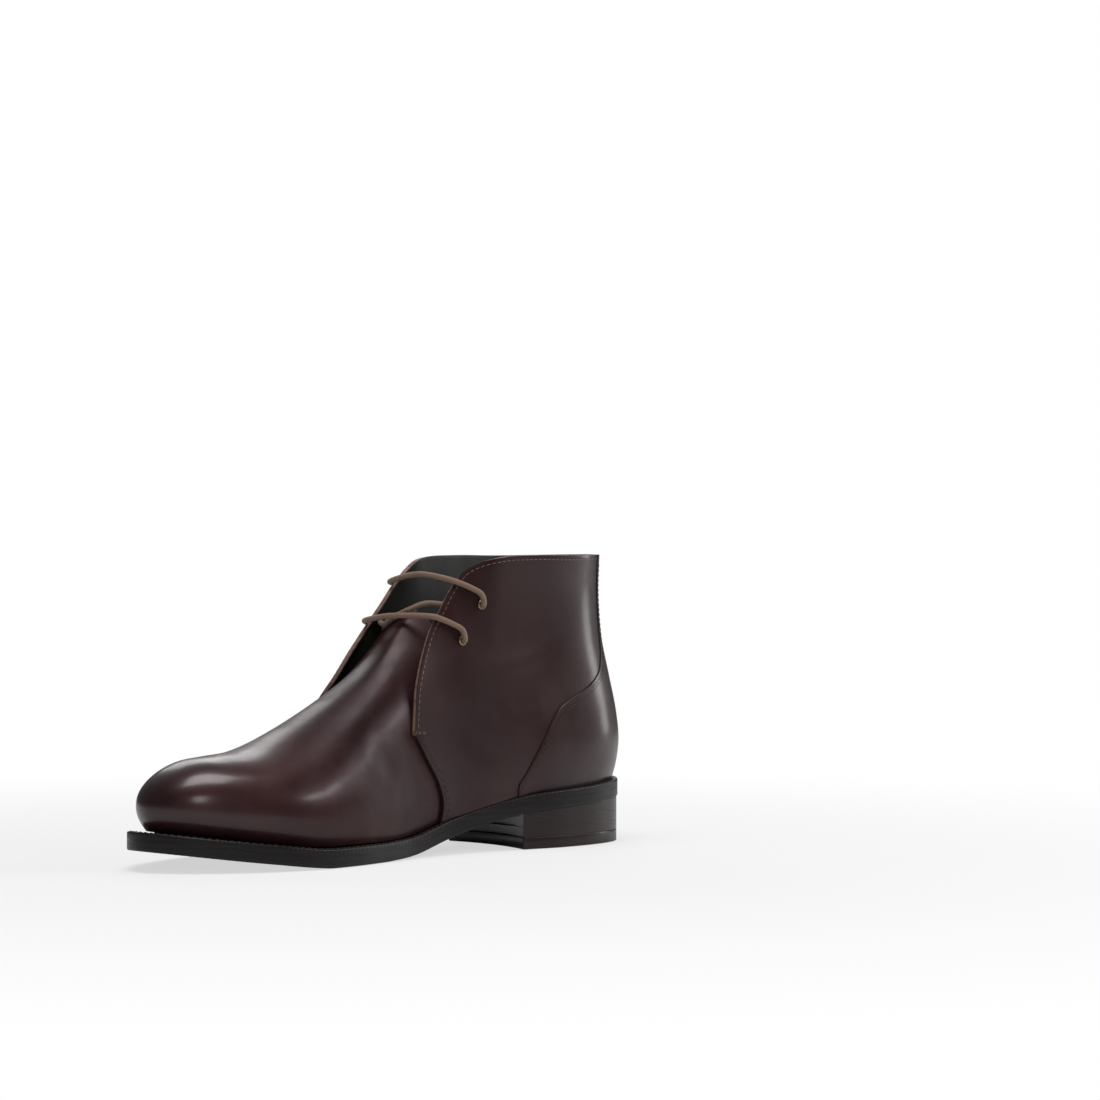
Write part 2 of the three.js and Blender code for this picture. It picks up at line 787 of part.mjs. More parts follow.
// The rubber corner is cut from the top piece along a slanted line across the outer back of the heel.
function rubberCutter(gap) {
  const reach = soleLength;
  const from = new THREE.Vector2(-soleHalf(-1, rubberStart), rubberStart);
  const to = new THREE.Vector2(soleHalf(1, rubberCornerLength), rubberCornerLength);
  const middle = from.clone().lerp(to, 0.5);
  const angle = Math.atan2(to.y - from.y, to.x - from.x);
  const box = new THREE.BoxGeometry(reach, reach, reach);
  box.translate(0, -reach / 2 - gap, 0).rotateZ(angle).translate(middle.x, middle.y, 0);
  return box;
}

const wasm = await Module();
wasm.setup();

function toManifold(geometry) {
  const bareGeometry = geometry.clone();
  bareGeometry.deleteAttribute('normal');
  bareGeometry.deleteAttribute('uv');
  const merged = mergeVertices(bareGeometry, 1e-4);
  return new wasm.Manifold(new wasm.Mesh({
    numProp: 3,
    vertProperties: new Float32Array(merged.getAttribute('position').array),
    triVerts: new Uint32Array(merged.getIndex().array),
  }));
}

function fromManifold(solid) {
  const { vertProperties, triVerts } = solid.getMesh();
  return solidGeometry(Array.from(vertProperties), Array.from(triVerts));
}

// Lace bars and eyelets: eyelets stand behind the facing at two heights.
// bow and lift move a bar's middle forward and up, medial and lateral are its climb to each facing's edge.
const eyeletRows = table(['name', 'height', 'bow', 'lift', 'medial', 'lateral'], [
  ['lower', 0.71, 5, 1.5, 11, 8],
  ['upper', 0.83, 1.5, 3.5, 11, 10],
]);

function eyeletPlace(side, height) {
  const z = height * collarHeight;
  return outerFrame(side, facingY(side, z) - eyeletSetback, z);
}

function eyeletMesh(name, side, height) {
  const { point, normal } = eyeletPlace(side, height);
  const profile = [
    [eyeletBore / 2, 0], [eyeletDiameter / 2, 0], [eyeletDiameter / 2, eyeletThickness * 0.45],
    [eyeletDiameter * 0.42, eyeletThickness], [eyeletBore / 2, eyeletThickness * 0.7], [eyeletBore / 2, 0],
  ].map(([x, y]) => new THREE.Vector2(x, y));
  const geometry = new THREE.LatheGeometry(profile, 16);
  const mesh = piece(name, geometry, brass);
  mesh.position.copy(point).addScaledVector(normal, quarterLap + clearance);
  mesh.quaternion.setFromUnitVectors(new THREE.Vector3(0, 1, 0), normal);
  return mesh;
}

function cordGeometry(points, steps) {
  const path = new THREE.CatmullRomCurve3(points, false, 'centripetal');
  const section = new THREE.Shape().absarc(0, 0, laceDiameter / 2, 0, Math.PI * 2);
  return new THREE.ExtrudeGeometry(section, { steps, curveSegments: 4, extrudePath: path, bevelEnabled: false });
}

// Where the inner run crosses the tongue, from the inner side to the outer one; slack lifts it off the leather.
const diagonalRun = table(['side', 'across', 'rise', 'slack'], [
  ['medial', 0.4, 1.0, 0.9],
  ['medial', 0.05, 0.93, 0.7],
  ['lateral', 0.3, 0.87, 0.5],
  ['lateral', 0.6, 0.87, 0.1],
]);

// Point over or under a facing: back is its distance behind the edge, raised along the outward normal.
function overFacing(side, z, back, raised) {
  const { point, normal } = outerFrame(side, facingY(side, z) - back, z);
  return point.addScaledVector(normal, raised);
}

// A bar runs from one eyelet over its facing's edge, across the opening, to the other eyelet.
function barPoints({ height, bow, lift, ...climb }) {
  const resting = quarterLap + clearance * 2 + laceDiameter / 2;
  const overRim = resting + eyeletThickness + clearance;
  const [medial, lateral] = Object.values(sides).map((side) => {
    const { point, normal } = eyeletPlace(side, height);
    const out = [quarterLap + clearance, overRim * 0.8].map((rise) => point.clone().addScaledVector(normal, rise));
    const run = [[0.76, overRim], [0.4, resting], [-0.04, resting]].map(([back, raised]) => {
      const z = height * collarHeight + climb[sideName(side)] * Math.sqrt(1 - back);
      return overFacing(side, z, eyeletSetback * back, raised);
    });
    return [...out, ...run];
  });
  const left = medial[medial.length - 1];
  const right = lateral[lateral.length - 1];
  const middle = left.clone().lerp(right, 0.5).add(new THREE.Vector3(0, bow, lift));
  return [...medial, middle, ...lateral.reverse()];
}

// Point in front of the tongue, raised along its outward normal.
function overTongue(side, across, rise, raised) {
  const step = 0.02;
  const point = tonguePoint(side, across, rise);
  const sideways = tonguePoint(side, across + step, rise).sub(point);
  const upward = point.clone().sub(tonguePoint(side, across, rise - step));
  return point.addScaledVector(upward.cross(sideways).normalize(), raised * side);
}

// The lace's inner run, from the inner side's upper eyelet over the tongue to the outer side's lower eyelet.
function diagonalPoints() {
  const [lower, upper] = eyeletRows;
  const raised = clearance + laceDiameter / 2;
  const depth = quarterLining + raised + clearance;
  const under = (side, { height }, climb, back) => (
    overFacing(side, height * collarHeight + climb, eyeletSetback * back, -depth));
  return [
    under(sides.medial, upper, 0, 1),
    under(sides.medial, upper, 0.5, 0.6),
    under(sides.medial, upper, 0.5, 0.2),
    ...diagonalRun.map(({ side, across, rise, slack }) => overTongue(sides[side], across, rise, raised + slack)),
    under(sides.lateral, lower, 3.2, 0.26),
    under(sides.lateral, lower, 2, 0.5),
    under(sides.lateral, lower, 0, 1),
  ];
}

function finish(color, roughness, metalness = 0) {
  return new THREE.MeshStandardMaterial({ color, roughness, metalness });
}

const calf = finish(0x3a2226, 0.35);
const lining = finish(0x23251f, 0.6);
const soleLeather = finish(0x241c1c, 0.5);
const heelLeather = finish(0x2e1c1e, 0.45);
const rubber = finish(0x2c2b2c, 0.8);
const brass = finish(0x8a7350, 0.4, 0.9);
const waxedCord = finish(0x7a6656, 0.8);

function piece(name, geometry, material) {
  const mesh = new THREE.Mesh(geometry, material);
  mesh.name = name;
  mesh.geometry.computeVertexNormals();
  return mesh;
}

const boot = new THREE.Group();

boot.add(piece('upper', upperGeometry(), calf));
boot.add(piece('tongue', tongueGeometry(), calf));
boot.add(piece('outsole', plateGeometry(solePairs, soleBottom, outsoleTop), soleLeather));
boot.add(piece('welt', ringGeometry(solePairs, innerPairs, (y) => outsoleTop(y) + clearance, weltTop), soleLeather));
boot.add(piece('insole', plateGeometry(insolePairs, (y) => outsoleTop(y) + clearance,
  (y) => featherHeight(y) + insoleRise), lining));

// Heel lifts from the floor up; the first under the outsole takes up its slope.
const heelRows = heelPairs();
const liftTops = [topPieceThickness, topPieceThickness + liftThickness, topPieceThickness + 2 * liftThickness];
boot.add(piece('heel_lift_lower', heelPlate(heelRows, () => liftTops[0] + clearance, () => liftTops[1]), heelLeather));
boot.add(piece('heel_lift_middle', heelPlate(heelRows, () => liftTops[1] + clearance, () => liftTops[2]), heelLeather));
boot.add(piece('heel_lift_seat', heelPlate(heelRows, () => liftTops[2] + clearance,
  (y) => Math.max(soleBottom(y) - clearance, liftTops[2] + 1)), heelLeather));
const topPiece = toManifold(heelPlate(heelRows, () => 0, () => topPieceThickness));
const leatherPart = topPiece.subtract(toManifold(rubberCutter(-clearance / 2)));
const rubberPart = topPiece.intersect(toManifold(rubberCutter(clearance / 2)));
boot.add(piece('heel_top_piece', fromManifold(leatherPart), heelLeather));
boot.add(piece('heel_rubber_corner', fromManifold(rubberPart), rubber));

for (const row of eyeletRows) {
  const { name, height } = row;
  for (const [sideLabel, side] of Object.entries(sides)) {
    boot.add(eyeletMesh(`eyelet_${sideLabel}_${name}`, side, height));
  }
  boot.add(piece(`lace_bar_${name}`, cordGeometry(barPoints(row), 34), waxedCord));
}
boot.add(piece('lace_diagonal', cordGeometry(diagonalPoints(), 20), waxedCord));

// The origin is the middle of the boot's outline, on the floor.
const outlineMiddle = new THREE.Box3().setFromObject(boot).getCenter(new THREE.Vector3());
boot.position.set(-outlineMiddle.x, -outlineMiddle.y, 0);

export default boot;
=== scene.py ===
# Chukka boot for the right foot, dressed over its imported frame.
import json
import math

import bpy
import numpy as np
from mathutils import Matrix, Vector

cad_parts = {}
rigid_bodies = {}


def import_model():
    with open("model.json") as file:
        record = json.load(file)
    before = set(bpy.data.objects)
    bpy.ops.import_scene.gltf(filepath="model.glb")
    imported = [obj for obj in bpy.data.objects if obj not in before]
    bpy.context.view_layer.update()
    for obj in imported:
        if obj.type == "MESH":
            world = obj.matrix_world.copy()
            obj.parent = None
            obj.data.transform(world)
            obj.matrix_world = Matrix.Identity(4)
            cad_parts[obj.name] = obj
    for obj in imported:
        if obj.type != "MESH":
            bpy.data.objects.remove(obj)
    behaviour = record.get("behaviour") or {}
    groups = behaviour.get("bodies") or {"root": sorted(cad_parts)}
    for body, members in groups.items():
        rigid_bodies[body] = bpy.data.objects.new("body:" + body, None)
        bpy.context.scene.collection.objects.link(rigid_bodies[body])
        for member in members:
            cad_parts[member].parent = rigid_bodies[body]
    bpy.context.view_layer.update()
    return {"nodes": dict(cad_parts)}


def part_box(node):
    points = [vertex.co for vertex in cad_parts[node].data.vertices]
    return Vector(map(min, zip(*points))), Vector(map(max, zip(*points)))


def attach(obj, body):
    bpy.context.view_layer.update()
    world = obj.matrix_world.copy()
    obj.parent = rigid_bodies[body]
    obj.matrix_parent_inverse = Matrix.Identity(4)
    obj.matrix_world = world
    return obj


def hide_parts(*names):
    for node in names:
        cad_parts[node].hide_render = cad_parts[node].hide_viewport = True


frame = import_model()
print("frame loaded:", len(frame["nodes"]), "nodes")

# everything is worked out in millimetres from the heel's back and the floor, then placed in the frame
mm = 0.001
boxLow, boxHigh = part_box("outsole")
soleLength = (boxHigh[1] - boxLow[1]) / mm
form = {
    "ballWidth": 102, "heelHeight": 23.5, "toeSpring": 9.7, "lastLength": 296, "collarHeight": 146.8,
    "collarLength": 109, "counterWidth": 64, "toeHeight": 27.4, "instepHeight": 115, "toeRounding": 31.5,
    "outsoleThickness": 5.0, "weltThickness": 3.6, "clearance": 0.3, "tongueHeight": 123,
}


def readTable(rows, column, key):
    # smooth curve through one column of a short table
    rows = np.asarray(rows, float)
    xs, ys = rows[:, 0], rows[:, column]
    at = np.clip(np.asarray(key, float), xs[0], xs[-1])
    span = np.diff(xs)
    rate = np.diff(ys) / span
    slope = np.empty_like(ys)
    slope[0], slope[-1] = rate[0], rate[-1]
    slope[1:-1] = (rate[:-1] * span[1:] + rate[1:] * span[:-1]) / (span[1:] + span[:-1])
    i = np.clip(np.searchsorted(xs, at, side="right") - 1, 0, len(xs) - 2)
    t = (at - xs[i]) / span[i]
    start = (2 * t**3 - 3 * t**2 + 1) * ys[i] + (t**3 - 2 * t**2 + t) * span[i] * slope[i]
    return start + (-2 * t**3 + 3 * t**2) * ys[i + 1] + (t**3 - t**2) * span[i] * slope[i + 1]


def smoothStep(low, high, value):
    t = np.clip((np.asarray(value, float) - low) / (high - low), 0, 1)
    return t * t * (3 - 2 * t)


# share of the sole's length; medial and lateral half widths as shares of half the ball's width
soleOutline = [
    (0, 0, 0), (0.02, 0.286, 0.29), (0.05, 0.455, 0.463), (0.10, 0.584, 0.6), (0.16, 0.649, 0.671),
    (0.22, 0.663, 0.706), (0.28, 0.614, 0.725), (0.36, 0.555, 0.765), (0.44, 0.537, 0.833),
    (0.52, 0.608, 0.931), (0.60, 0.749, 1.029), (0.68, 0.878, 1.069), (0.74, 0.927, 1.043),
    (0.80, 0.91, 0.961), (0.86, 0.806, 0.824), (0.92, 0.629, 0.641), (0.96, 0.453, 0.465),
    (0.985, 0.27, 0.29), (1, 0, 0),
]
turnedOutline = [(math.acos(1 - 2 * along) / math.pi, inner, outer) for along, inner, outer in soleOutline]

# share of the length; heel pitch and toe spring as shares of their own heights
solePitch = [
    (0, 1, 0), (0.14, 0.885, 0), (0.27, 0.774, 0), (0.36, 0.579, 0), (0.44, 0.323, 0), (0.52, 0.068, 0),
    (0.60, 0, 0), (0.74, 0, 0), (0.85, 0, 0.37), (1, 0, 1),
]

weltReveal = [(0, 0.03), (0.3, 0.024), (0.42, 0.02), (0.55, 0.05), (0.68, 0.08), (0.85, 0.1), (1, 0.1)]

# along, ridge, crest, round, square, widest, tuck
foreSections = [
    (0.422, 1.27, -0.04, 2.2, 2.0, 0.66, 0.11), (0.463, 1.157, -0.06, 2.2, 2.0, 0.66, 0.11),
    (0.507, 1.0, -0.08, 2.2, 2.0, 0.62, 0.11), (0.547, 0.843, -0.09, 2.1, 2.0, 0.58, 0.11),
    (0.591, 0.717, -0.1, 2.0, 2.0, 0.55, 0.117), (0.642, 0.643, -0.1, 2.0, 2.0, 0.53, 0.124),
    (0.693, 0.581, -0.09, 2.0, 2.0, 0.49, 0.131), (0.75, 0.517, -0.07, 2.05, 2.0, 0.47, 0.139),
    (0.811, 0.471, -0.05, 2.15, 2.05, 0.46, 0.146), (0.868, 0.455, -0.03, 2.25, 2.1, 0.44, 0.146),
    (0.919, 0.442, -0.02, 2.35, 2.1, 0.42, 0.146), (0.959, 0.424, -0.01, 2.4, 2.1, 0.42, 0.146),
    (1, 0.402, 0, 2.4, 2.1, 0.42, 0.146),
]

# height, back, medial, lateral, widest
heelLoops = [
    (0.204, 0.052, 0.888, 0.928, 0.514), (0.272, 0.026, 0.944, 0.984, 0.505),
    (0.354, 0.011, 0.956, 1.0, 0.495), (0.45, 0.024, 0.925, 0.969, 0.486),
    (0.572, 0.059, 0.856, 0.897, 0.486), (0.708, 0.105, 0.825, 0.866, 0.486),
    (0.858, 0.128, 0.844, 0.888, 0.495), (1.022, 0.128, 0.919, 0.956, 0.505),
]

# height, medial, lateral
facingLine = [
    (0.409, 0.53, 0.572), (0.477, 0.523, 0.563), (0.545, 0.515, 0.553), (0.613, 0.502, 0.53),
    (0.681, 0.486, 0.503), (0.749, 0.467, 0.477), (0.817, 0.443, 0.452), (0.886, 0.421, 0.427),
    (0.94, 0.399, 0.402),
]
quarterSeam = [
    (0.12, 0.461, 0.494), (0.157, 0.461, 0.495), (0.245, 0.476, 0.512), (0.32, 0.502, 0.541),
    (0.409, 0.53, 0.572),
]
topLine = [
    (0.04, 1.0), (0.17, 0.996), (0.27, 0.997), (0.33, 0.992), (0.365, 0.978), (0.385, 0.962), (0.403, 0.94),
]
# rise, along, height, across
tongueCrest = [
    (0, 0.582, 0.683, -0.1), (0.12, 0.563, 0.72, -0.095), (0.3, 0.534, 0.78, -0.08),
    (0.6, 0.496, 0.875, -0.05), (1, 0.449, 1.0, -0.03),
]
# height, along: front edge of the back panel, both sides
counterSeam = [
    (0.19, 0.312), (0.245, 0.287), (0.306, 0.267), (0.368, 0.247), (0.429, 0.226), (0.478, 0.203),
    (0.512, 0.169), (0.545, 0.128), (0.586, 0.096), (0.64, 0.08), (0.75, 0.075), (0.88, 0.08), (1.0, 0.085),
]


# how the last rounds off; lengths and widths are shares of the form's own, crestFade is in millimetres
fore = {"toeRound": 2.2, "crestFade": 20, "tuckPivot": 0.675, "tuckLimit": 1.2,
        "blendFrom": 0.331, "blendTo": 0.48}
rear = {"round": 2.25, "taper": 0.55, "taperLimit": 1.6, "taperPower": 1.8, "frontWidth": 0.406,
        "foot": 0.46, "blendLow": 0.306, "blendHigh": 0.58}


def sideColumn(side):
    # medial is side -1 and lateral side 1
    return 1 if side < 0 else 2


def soleHalf(side, y):
    turn = np.arccos(1 - 2 * np.clip(np.asarray(y, float) / soleLength, 0, 1)) / math.pi
    return np.maximum(readTable(turnedOutline, sideColumn(side), turn), 0) * form["ballWidth"] / 2


# the frame's middle is halfway between the sole's two widest sides
outlineY = np.linspace(0, soleLength, 4001)
originShift = np.array([(soleHalf(1, outlineY).max() - soleHalf(-1, outlineY).max()) / 2,
                        soleLength / 2, 0.0])


def soleBottom(y):
    along = np.asarray(y, float) / soleLength
    heelRise = readTable(solePitch, 1, along) * form["heelHeight"]
    toeRise = readTable(solePitch, 2, along) * form["toeSpring"]
    return np.maximum(heelRise + toeRise, 0)


def outsoleTop(y):
    return soleBottom(y) + form["outsoleThickness"]


def weltTop(y):
    return outsoleTop(y) + form["clearance"] + form["weltThickness"]


def featherHeight(y):
    return weltTop(y) + form["clearance"]


def lastHalf(side, y):
    along = np.clip(np.asarray(y, float), 0, form["lastLength"]) / form["lastLength"]
    half = soleHalf(side, along * soleLength) * (1 - readTable(weltReveal, 1, along))
    return np.where(np.asarray(y) > form["lastLength"], 0, half)


def foreColumn(column, y):
    return readTable(foreSections, column, np.asarray(y, float) / form["lastLength"])


def widestHeight(y):
    return featherHeight(y) + foreColumn(5, y) * form["toeHeight"]


def ridgeHeight(y):
    full = foreColumn(1, y) * form["instepHeight"]
    t = np.clip((y - form["lastLength"] + form["toeRounding"]) / form["toeRounding"], 0, 1)
    return widestHeight(y) + (full - widestHeight(y)) * np.sqrt(np.maximum(1 - t**fore["toeRound"], 0))


def crestX(y):
    fade = np.clip((form["lastLength"] - y) / fore["crestFade"], 0, 1)
    return foreColumn(2, y) * form["ballWidth"] / 2 * fade


def tuckDepth(y, z):
    low = (widestHeight(y) - z) / (widestHeight(y) - featherHeight(y))
    return foreColumn(6, y) * form["toeHeight"] * np.clip(low, 0, fore["tuckLimit"]) ** 2


def foreX(side, y, z):
    length = form["lastLength"]
    center, ridge = crestX(y), ridgeHeight(y)
    widest = np.minimum(widestHeight(y), ridge - 0.01)
    rise = np.clip((z - widest) / (ridge - widest), 0, 1)
    arch = np.maximum(1 - rise ** foreColumn(3, y), 0) ** (1 / foreColumn(4, y))
    high = np.maximum(lastHalf(side, y) - side * center, 0) * arch
    tuck = tuckDepth(y, z)
    pivot = length * fore["tuckPivot"]
    drawn = np.where(y > pivot, pivot + (y - pivot) * (length - pivot) / (length - pivot - tuck), y)
    low = np.maximum(lastHalf(side, drawn) - side * center - tuck, 0)
    return center + side * np.where(z >= widest, high, low)


def backY(z):
    return readTable(heelLoops, 1, np.asarray(z) / form["collarHeight"]) * form["collarLength"]


def rearX(side, y, z):
    level = np.asarray(z) / form["collarHeight"]
    half = readTable(heelLoops, 2 if side < 0 else 3, level) * form["counterWidth"] / 2
    reach = readTable(heelLoops, 4, level) * form["collarLength"]
    back = backY(z)
    u = np.clip((y - back) / reach, 0, 1)
    behind = half * np.sqrt(np.maximum(1 - (1 - u) ** rear["round"], 0))
    ahead = np.clip((y - back - reach) / (form["collarLength"] * rear["taper"]), 0, rear["taperLimit"])
    high = half - (half - form["counterWidth"] * rear["frontWidth"]) * ahead ** rear["taperPower"]
    span = form["collarLength"] * rear["foot"]
    keep = 1 - smoothStep(0, 1, (y - back - reach) / span)
    low = lastHalf(side, y) - (lastHalf(side, back + reach) - half) * keep
    height = form["collarHeight"]
    blend = smoothStep(height * rear["blendLow"], height * rear["blendHigh"], z)
    return side * np.where(u < 1, behind, low * (1 - blend) + high * blend)


def bootX(side, y, z):
    length = form["lastLength"]
    blend = smoothStep(length * fore["blendFrom"], length * fore["blendTo"], y)
    return rearX(side, y, z) * (1 - blend) + foreX(side, y, z) * blend


def surfacePoints(side, yz):
    yz = np.asarray(yz, float)
    return np.stack([bootX(side, yz[..., 0], yz[..., 1]), yz[..., 0], yz[..., 1]], -1)


def surfaceNormals(side, yz, step=0.4):
    yz = np.asarray(yz, float)
    alongY = surfacePoints(side, yz + [step, 0]) - surfacePoints(side, yz - [step, 0])
    alongZ = surfacePoints(side, yz + [0, step]) - surfacePoints(side, yz - [0, step])
    normals = np.cross(alongY, alongZ) * side
    return normals / np.linalg.norm(normals, axis=-1, keepdims=True)


def runLength(points):
    return np.linalg.norm(np.diff(points, axis=0), axis=1).sum()


def walked(points):
    # length walked along a polyline up to each of its points
    return np.concatenate([[0], np.cumsum(np.linalg.norm(np.diff(points, axis=0), axis=1))])


def respaced(points, shares):
    # points of a polyline at shares of its length
    points = np.asarray(points, float)
    lengths = walked(points)
    at = np.clip(shares, 0, 1) * lengths[-1]
    return np.stack([np.interp(at, lengths, points[:, k]) for k in range(points.shape[1])], -1)


throatY = tongueCrest[0][1] * form["lastLength"]
vHeight = quarterSeam[-1][0] * form["collarHeight"]
cornerHeight = facingLine[-1][0] * form["collarHeight"]


def tipY(z):
    return form["lastLength"] - tuckDepth(form["lastLength"], z)


featherTip = float(tipY(featherHeight(form["lastLength"])))


def ridgeLine():
    length = form["lastLength"]
    z = np.linspace(float(featherHeight(length)), float(widestHeight(length)), 30)
    low = np.stack([tipY(z), z], -1)
    y = length - (length - throatY) * np.linspace(0, 1, 400) ** 2
    return np.concatenate([low, np.stack([y, ridgeHeight(y)], -1)[1:]])


def lineY(rows, column, z):
    # how far forward a seam or an edge lies at a height
    return readTable(rows, column, z / form["collarHeight"]) * form["lastLength"]


def edgeTable(rows, side, low, high):
    z = np.linspace(low, high, 120)
    return np.stack([lineY(rows, sideColumn(side), z), z], -1)


def facingY(side, z):
    return float(lineY(facingLine, sideColumn(side), z))


def seamFoot(side):
    y = quarterSeam[0][sideColumn(side)] * form["lastLength"]
    return np.array([y, float(featherHeight(y))])


def seamLine(side):
    foot = seamFoot(side)
    return np.concatenate([[foot], edgeTable(quarterSeam, side, foot[1], vHeight)[1:]])


def facingEdge(side):
    return edgeTable(facingLine, side, vHeight, cornerHeight)


def throatLine(side):
    start = seamLine(side)[-1]
    return np.stack([start, [throatY, float(ridgeHeight(throatY))]])


def featherLine(low, high):
    y = low + (high - low) * np.sin(np.linspace(0, math.pi / 2, 200))
    return np.stack([y, featherHeight(y)], -1)


heelFoot = float(backY(featherHeight(0.0)))


def heelLine():
    z = np.linspace(float(featherHeight(backY(0))), topLine[0][1] * form["collarHeight"], 200)
    return np.stack([backY(z), z], -1)


def collarLine(side, until=None):
    corner = facingEdge(side)[-1]
    start = heelLine()[-1]
    along = np.linspace(topLine[0][0], topLine[-1][0], 200)
    spread = (corner[0] - start[0]) / ((topLine[-1][0] - topLine[0][0]) * form["lastLength"])
    y = start[0] + (along - topLine[0][0]) * form["lastLength"] * spread
    line = np.stack([y, readTable(topLine, 1, along) * form["collarHeight"]], -1)
    return line if until is None else line[line[:, 0] <= until]


def counterLine(z):
    return np.stack([lineY(counterSeam, 1, z), z], -1)


def sidePatch(bottom, top, start, end, columnShares, rowShares):
    # side view points between four edges, each edge already spaced
    u, v = np.asarray(columnShares)[None, :, None], np.asarray(rowShares)[:, None, None]
    blended = bottom[None] * (1 - v) + top[None] * v + start[:, None] * (1 - u) + end[:, None] * u
    corners = (bottom[0] * (1 - u) * (1 - v) + bottom[-1] * u * (1 - v)
               + top[0] * (1 - u) * v + top[-1] * u * v)
    return blended - corners


def roundHeel(halves):
    # both sides in one grid, from the medial front round the heel to the lateral front
    return np.concatenate([halves[-1][:, ::-1], halves[1][:, 1:]], axis=1)


def gridNormals(grid, turn):
    # turn is 1 where columns times rows already look outward, else -1
    normals = np.cross(np.gradient(grid, axis=1), np.gradient(grid, axis=0)) * turn
    size = np.linalg.norm(normals, axis=-1, keepdims=True)
    return normals / np.maximum(size, 1e-9)


# Tools for making pieces: edges sharper than these angles stay hard, and are the ones that a bevel rounds
edges = {"smoothAngle": 42, "bevelAngle": 50}
# points nearer than this become one, in metres
merge = {"fine": 0.0000001, "plate": 0.000001, "wall": 0.000002, "corner": 0.00002}


def deselectAll():
    if bpy.context.object and bpy.context.object.mode != "OBJECT":
        bpy.ops.object.mode_set(mode="OBJECT")
    bpy.ops.object.select_all(action="DESELECT")


def selectOnly(piece):
    deselectAll()
    piece.select_set(True)
    bpy.context.view_layer.objects.active = piece


def toFrame(points):
    return (np.asarray(points, float) - originShift) * mm


def roundRim(piece, width, segments):
    bevel = piece.modifiers.new("edge", "BEVEL")
    bevel.width = width * mm
    bevel.segments = segments
    bevel.limit_method = "ANGLE"
    bevel.angle_limit = math.radians(edges["bevelAngle"])
    selectOnly(piece)
    bpy.ops.object.modifier_apply(modifier=bevel.name)


def finishPiece(piece, name, materials, replaces=()):
    piece.name = name
    piece.data.name = name
    if not piece.data.materials:
        for material in materials:
            piece.data.materials.append(material)
    selectOnly(piece)
    bpy.ops.object.shade_smooth_by_angle(angle=math.radians(edges["smoothAngle"]))
    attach(piece, "root")
    if replaces:
        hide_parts(*replaces)
    return piece


def meshPiece(name, points, faces, nearest, materials=(), kinds=()):
    # points in millimetres and their faces as one object, its doubles merged and its faces turned outward
    mesh = bpy.data.meshes.new(name)
    mesh.from_pydata(toFrame(points).tolist(), [], faces)
    for material in materials:
        mesh.materials.append(material)
    if len(kinds):
        mesh.polygons.foreach_set("material_index", [min(int(kind), len(materials) - 1) for kind in kinds])
    piece = bpy.data.objects.new(name, mesh)
    bpy.context.collection.objects.link(piece)
    selectOnly(piece)
    bpy.ops.object.mode_set(mode="EDIT")
    bpy.ops.mesh.select_all(action="SELECT")
    bpy.ops.mesh.remove_doubles(threshold=nearest)
    bpy.ops.mesh.normals_make_consistent(inside=False)
    bpy.ops.object.mode_set(mode="OBJECT")
    return piece


def wallPiece(top, bottom, name, materials, replaces, rimWidth):
    # closed wall between two grids: the first material outside, the second inside, the third on the rim
    rows, columns = top.shape[:2]
    ids = np.arange(rows * columns).reshape(rows, columns)
    quads = np.stack([ids[:-1, :-1], ids[:-1, 1:], ids[1:, 1:], ids[1:, :-1]], -1).reshape(-1, 4)
    under = quads[:, ::-1] + rows * columns
    rim = np.concatenate([ids[0, :], ids[1:, -1], ids[-1, -2::-1], ids[-2:0:-1, 0]])
    after = np.roll(rim, -1)
    walls = np.stack([after, rim, rim + rows * columns, after + rows * columns], -1)
    faces = np.concatenate([quads, under, walls])
    kinds = [0] * len(quads) + [1] * len(under) + [2] * len(walls)
    piece = meshPiece(name, np.concatenate([top.reshape(-1, 3), bottom.reshape(-1, 3)]), faces.tolist(),
                      merge["wall"], materials, kinds)
    across = max(runLength(row) for row in top)
    along = max(runLength(column) for column in np.swapaxes(top, 0, 1))
    print(name, "flat size", round(across), "by", round(along), "mm")
    if rimWidth:
        roundRim(piece, rimWidth, 2)
    return finishPiece(piece, name, materials, replaces)


def cordPiece(points, diameter):
    # round cord through points: a curve with a bevel, made a mesh with its own map
    curve = bpy.data.curves.new("cord", "CURVE")
    curve.dimensions = "3D"
    curve.bevel_depth = diameter / 2 * mm
    curve.bevel_resolution = 5
    curve.use_fill_caps = True
    spline = curve.splines.new("POLY")
    spline.points.add(len(points) - 1)
    for point, place in zip(spline.points, toFrame(points)):
        point.co = (*place, 1)
    piece = bpy.data.objects.new("cord", curve)
    bpy.context.collection.objects.link(piece)
    selectOnly(piece)
    bpy.ops.object.convert(target="MESH")
    return bpy.context.object


def between(a, b, low, high, s):
    # from a where s is low to b where s is high
    return (high - s) / (high - low) * a + (s - low) / (high - low) * b


def smoothPath(points, count, samples=24):
    # centripetal curve through a few points
    path = np.asarray(points, float)
    padded = np.concatenate([path[:1] * 2 - path[1:2], path, path[-1:] * 2 - path[-2:-1]])
    pieces = []
    for k in range(1, len(padded) - 2):
        a, b, c, d = padded[k - 1:k + 3]
        t = [0.0]
        for p, q in ((a, b), (b, c), (c, d)):
            t.append(t[-1] + max(np.linalg.norm(q - p), 1e-6) ** 0.5)
        s = np.linspace(t[1], t[2], samples, endpoint=False)[:, None]
        second = between(b, c, t[1], t[2], s)
        left = between(between(a, b, t[0], t[1], s), second, t[0], t[2], s)
        right = between(second, between(c, d, t[2], t[3], s), t[1], t[3], s)
        pieces.append(between(left, right, t[1], t[2], s))
    return respaced(np.concatenate(pieces + [path[-1:]]), np.linspace(0, 1, count))


# dip is how far a stitch's ends go into the leather; raised lifts all of it, as a share of the thread
stitch = {"length": 2.3, "gap": 0.7, "thread": 0.34, "dip": 0.192, "raised": 0.25}


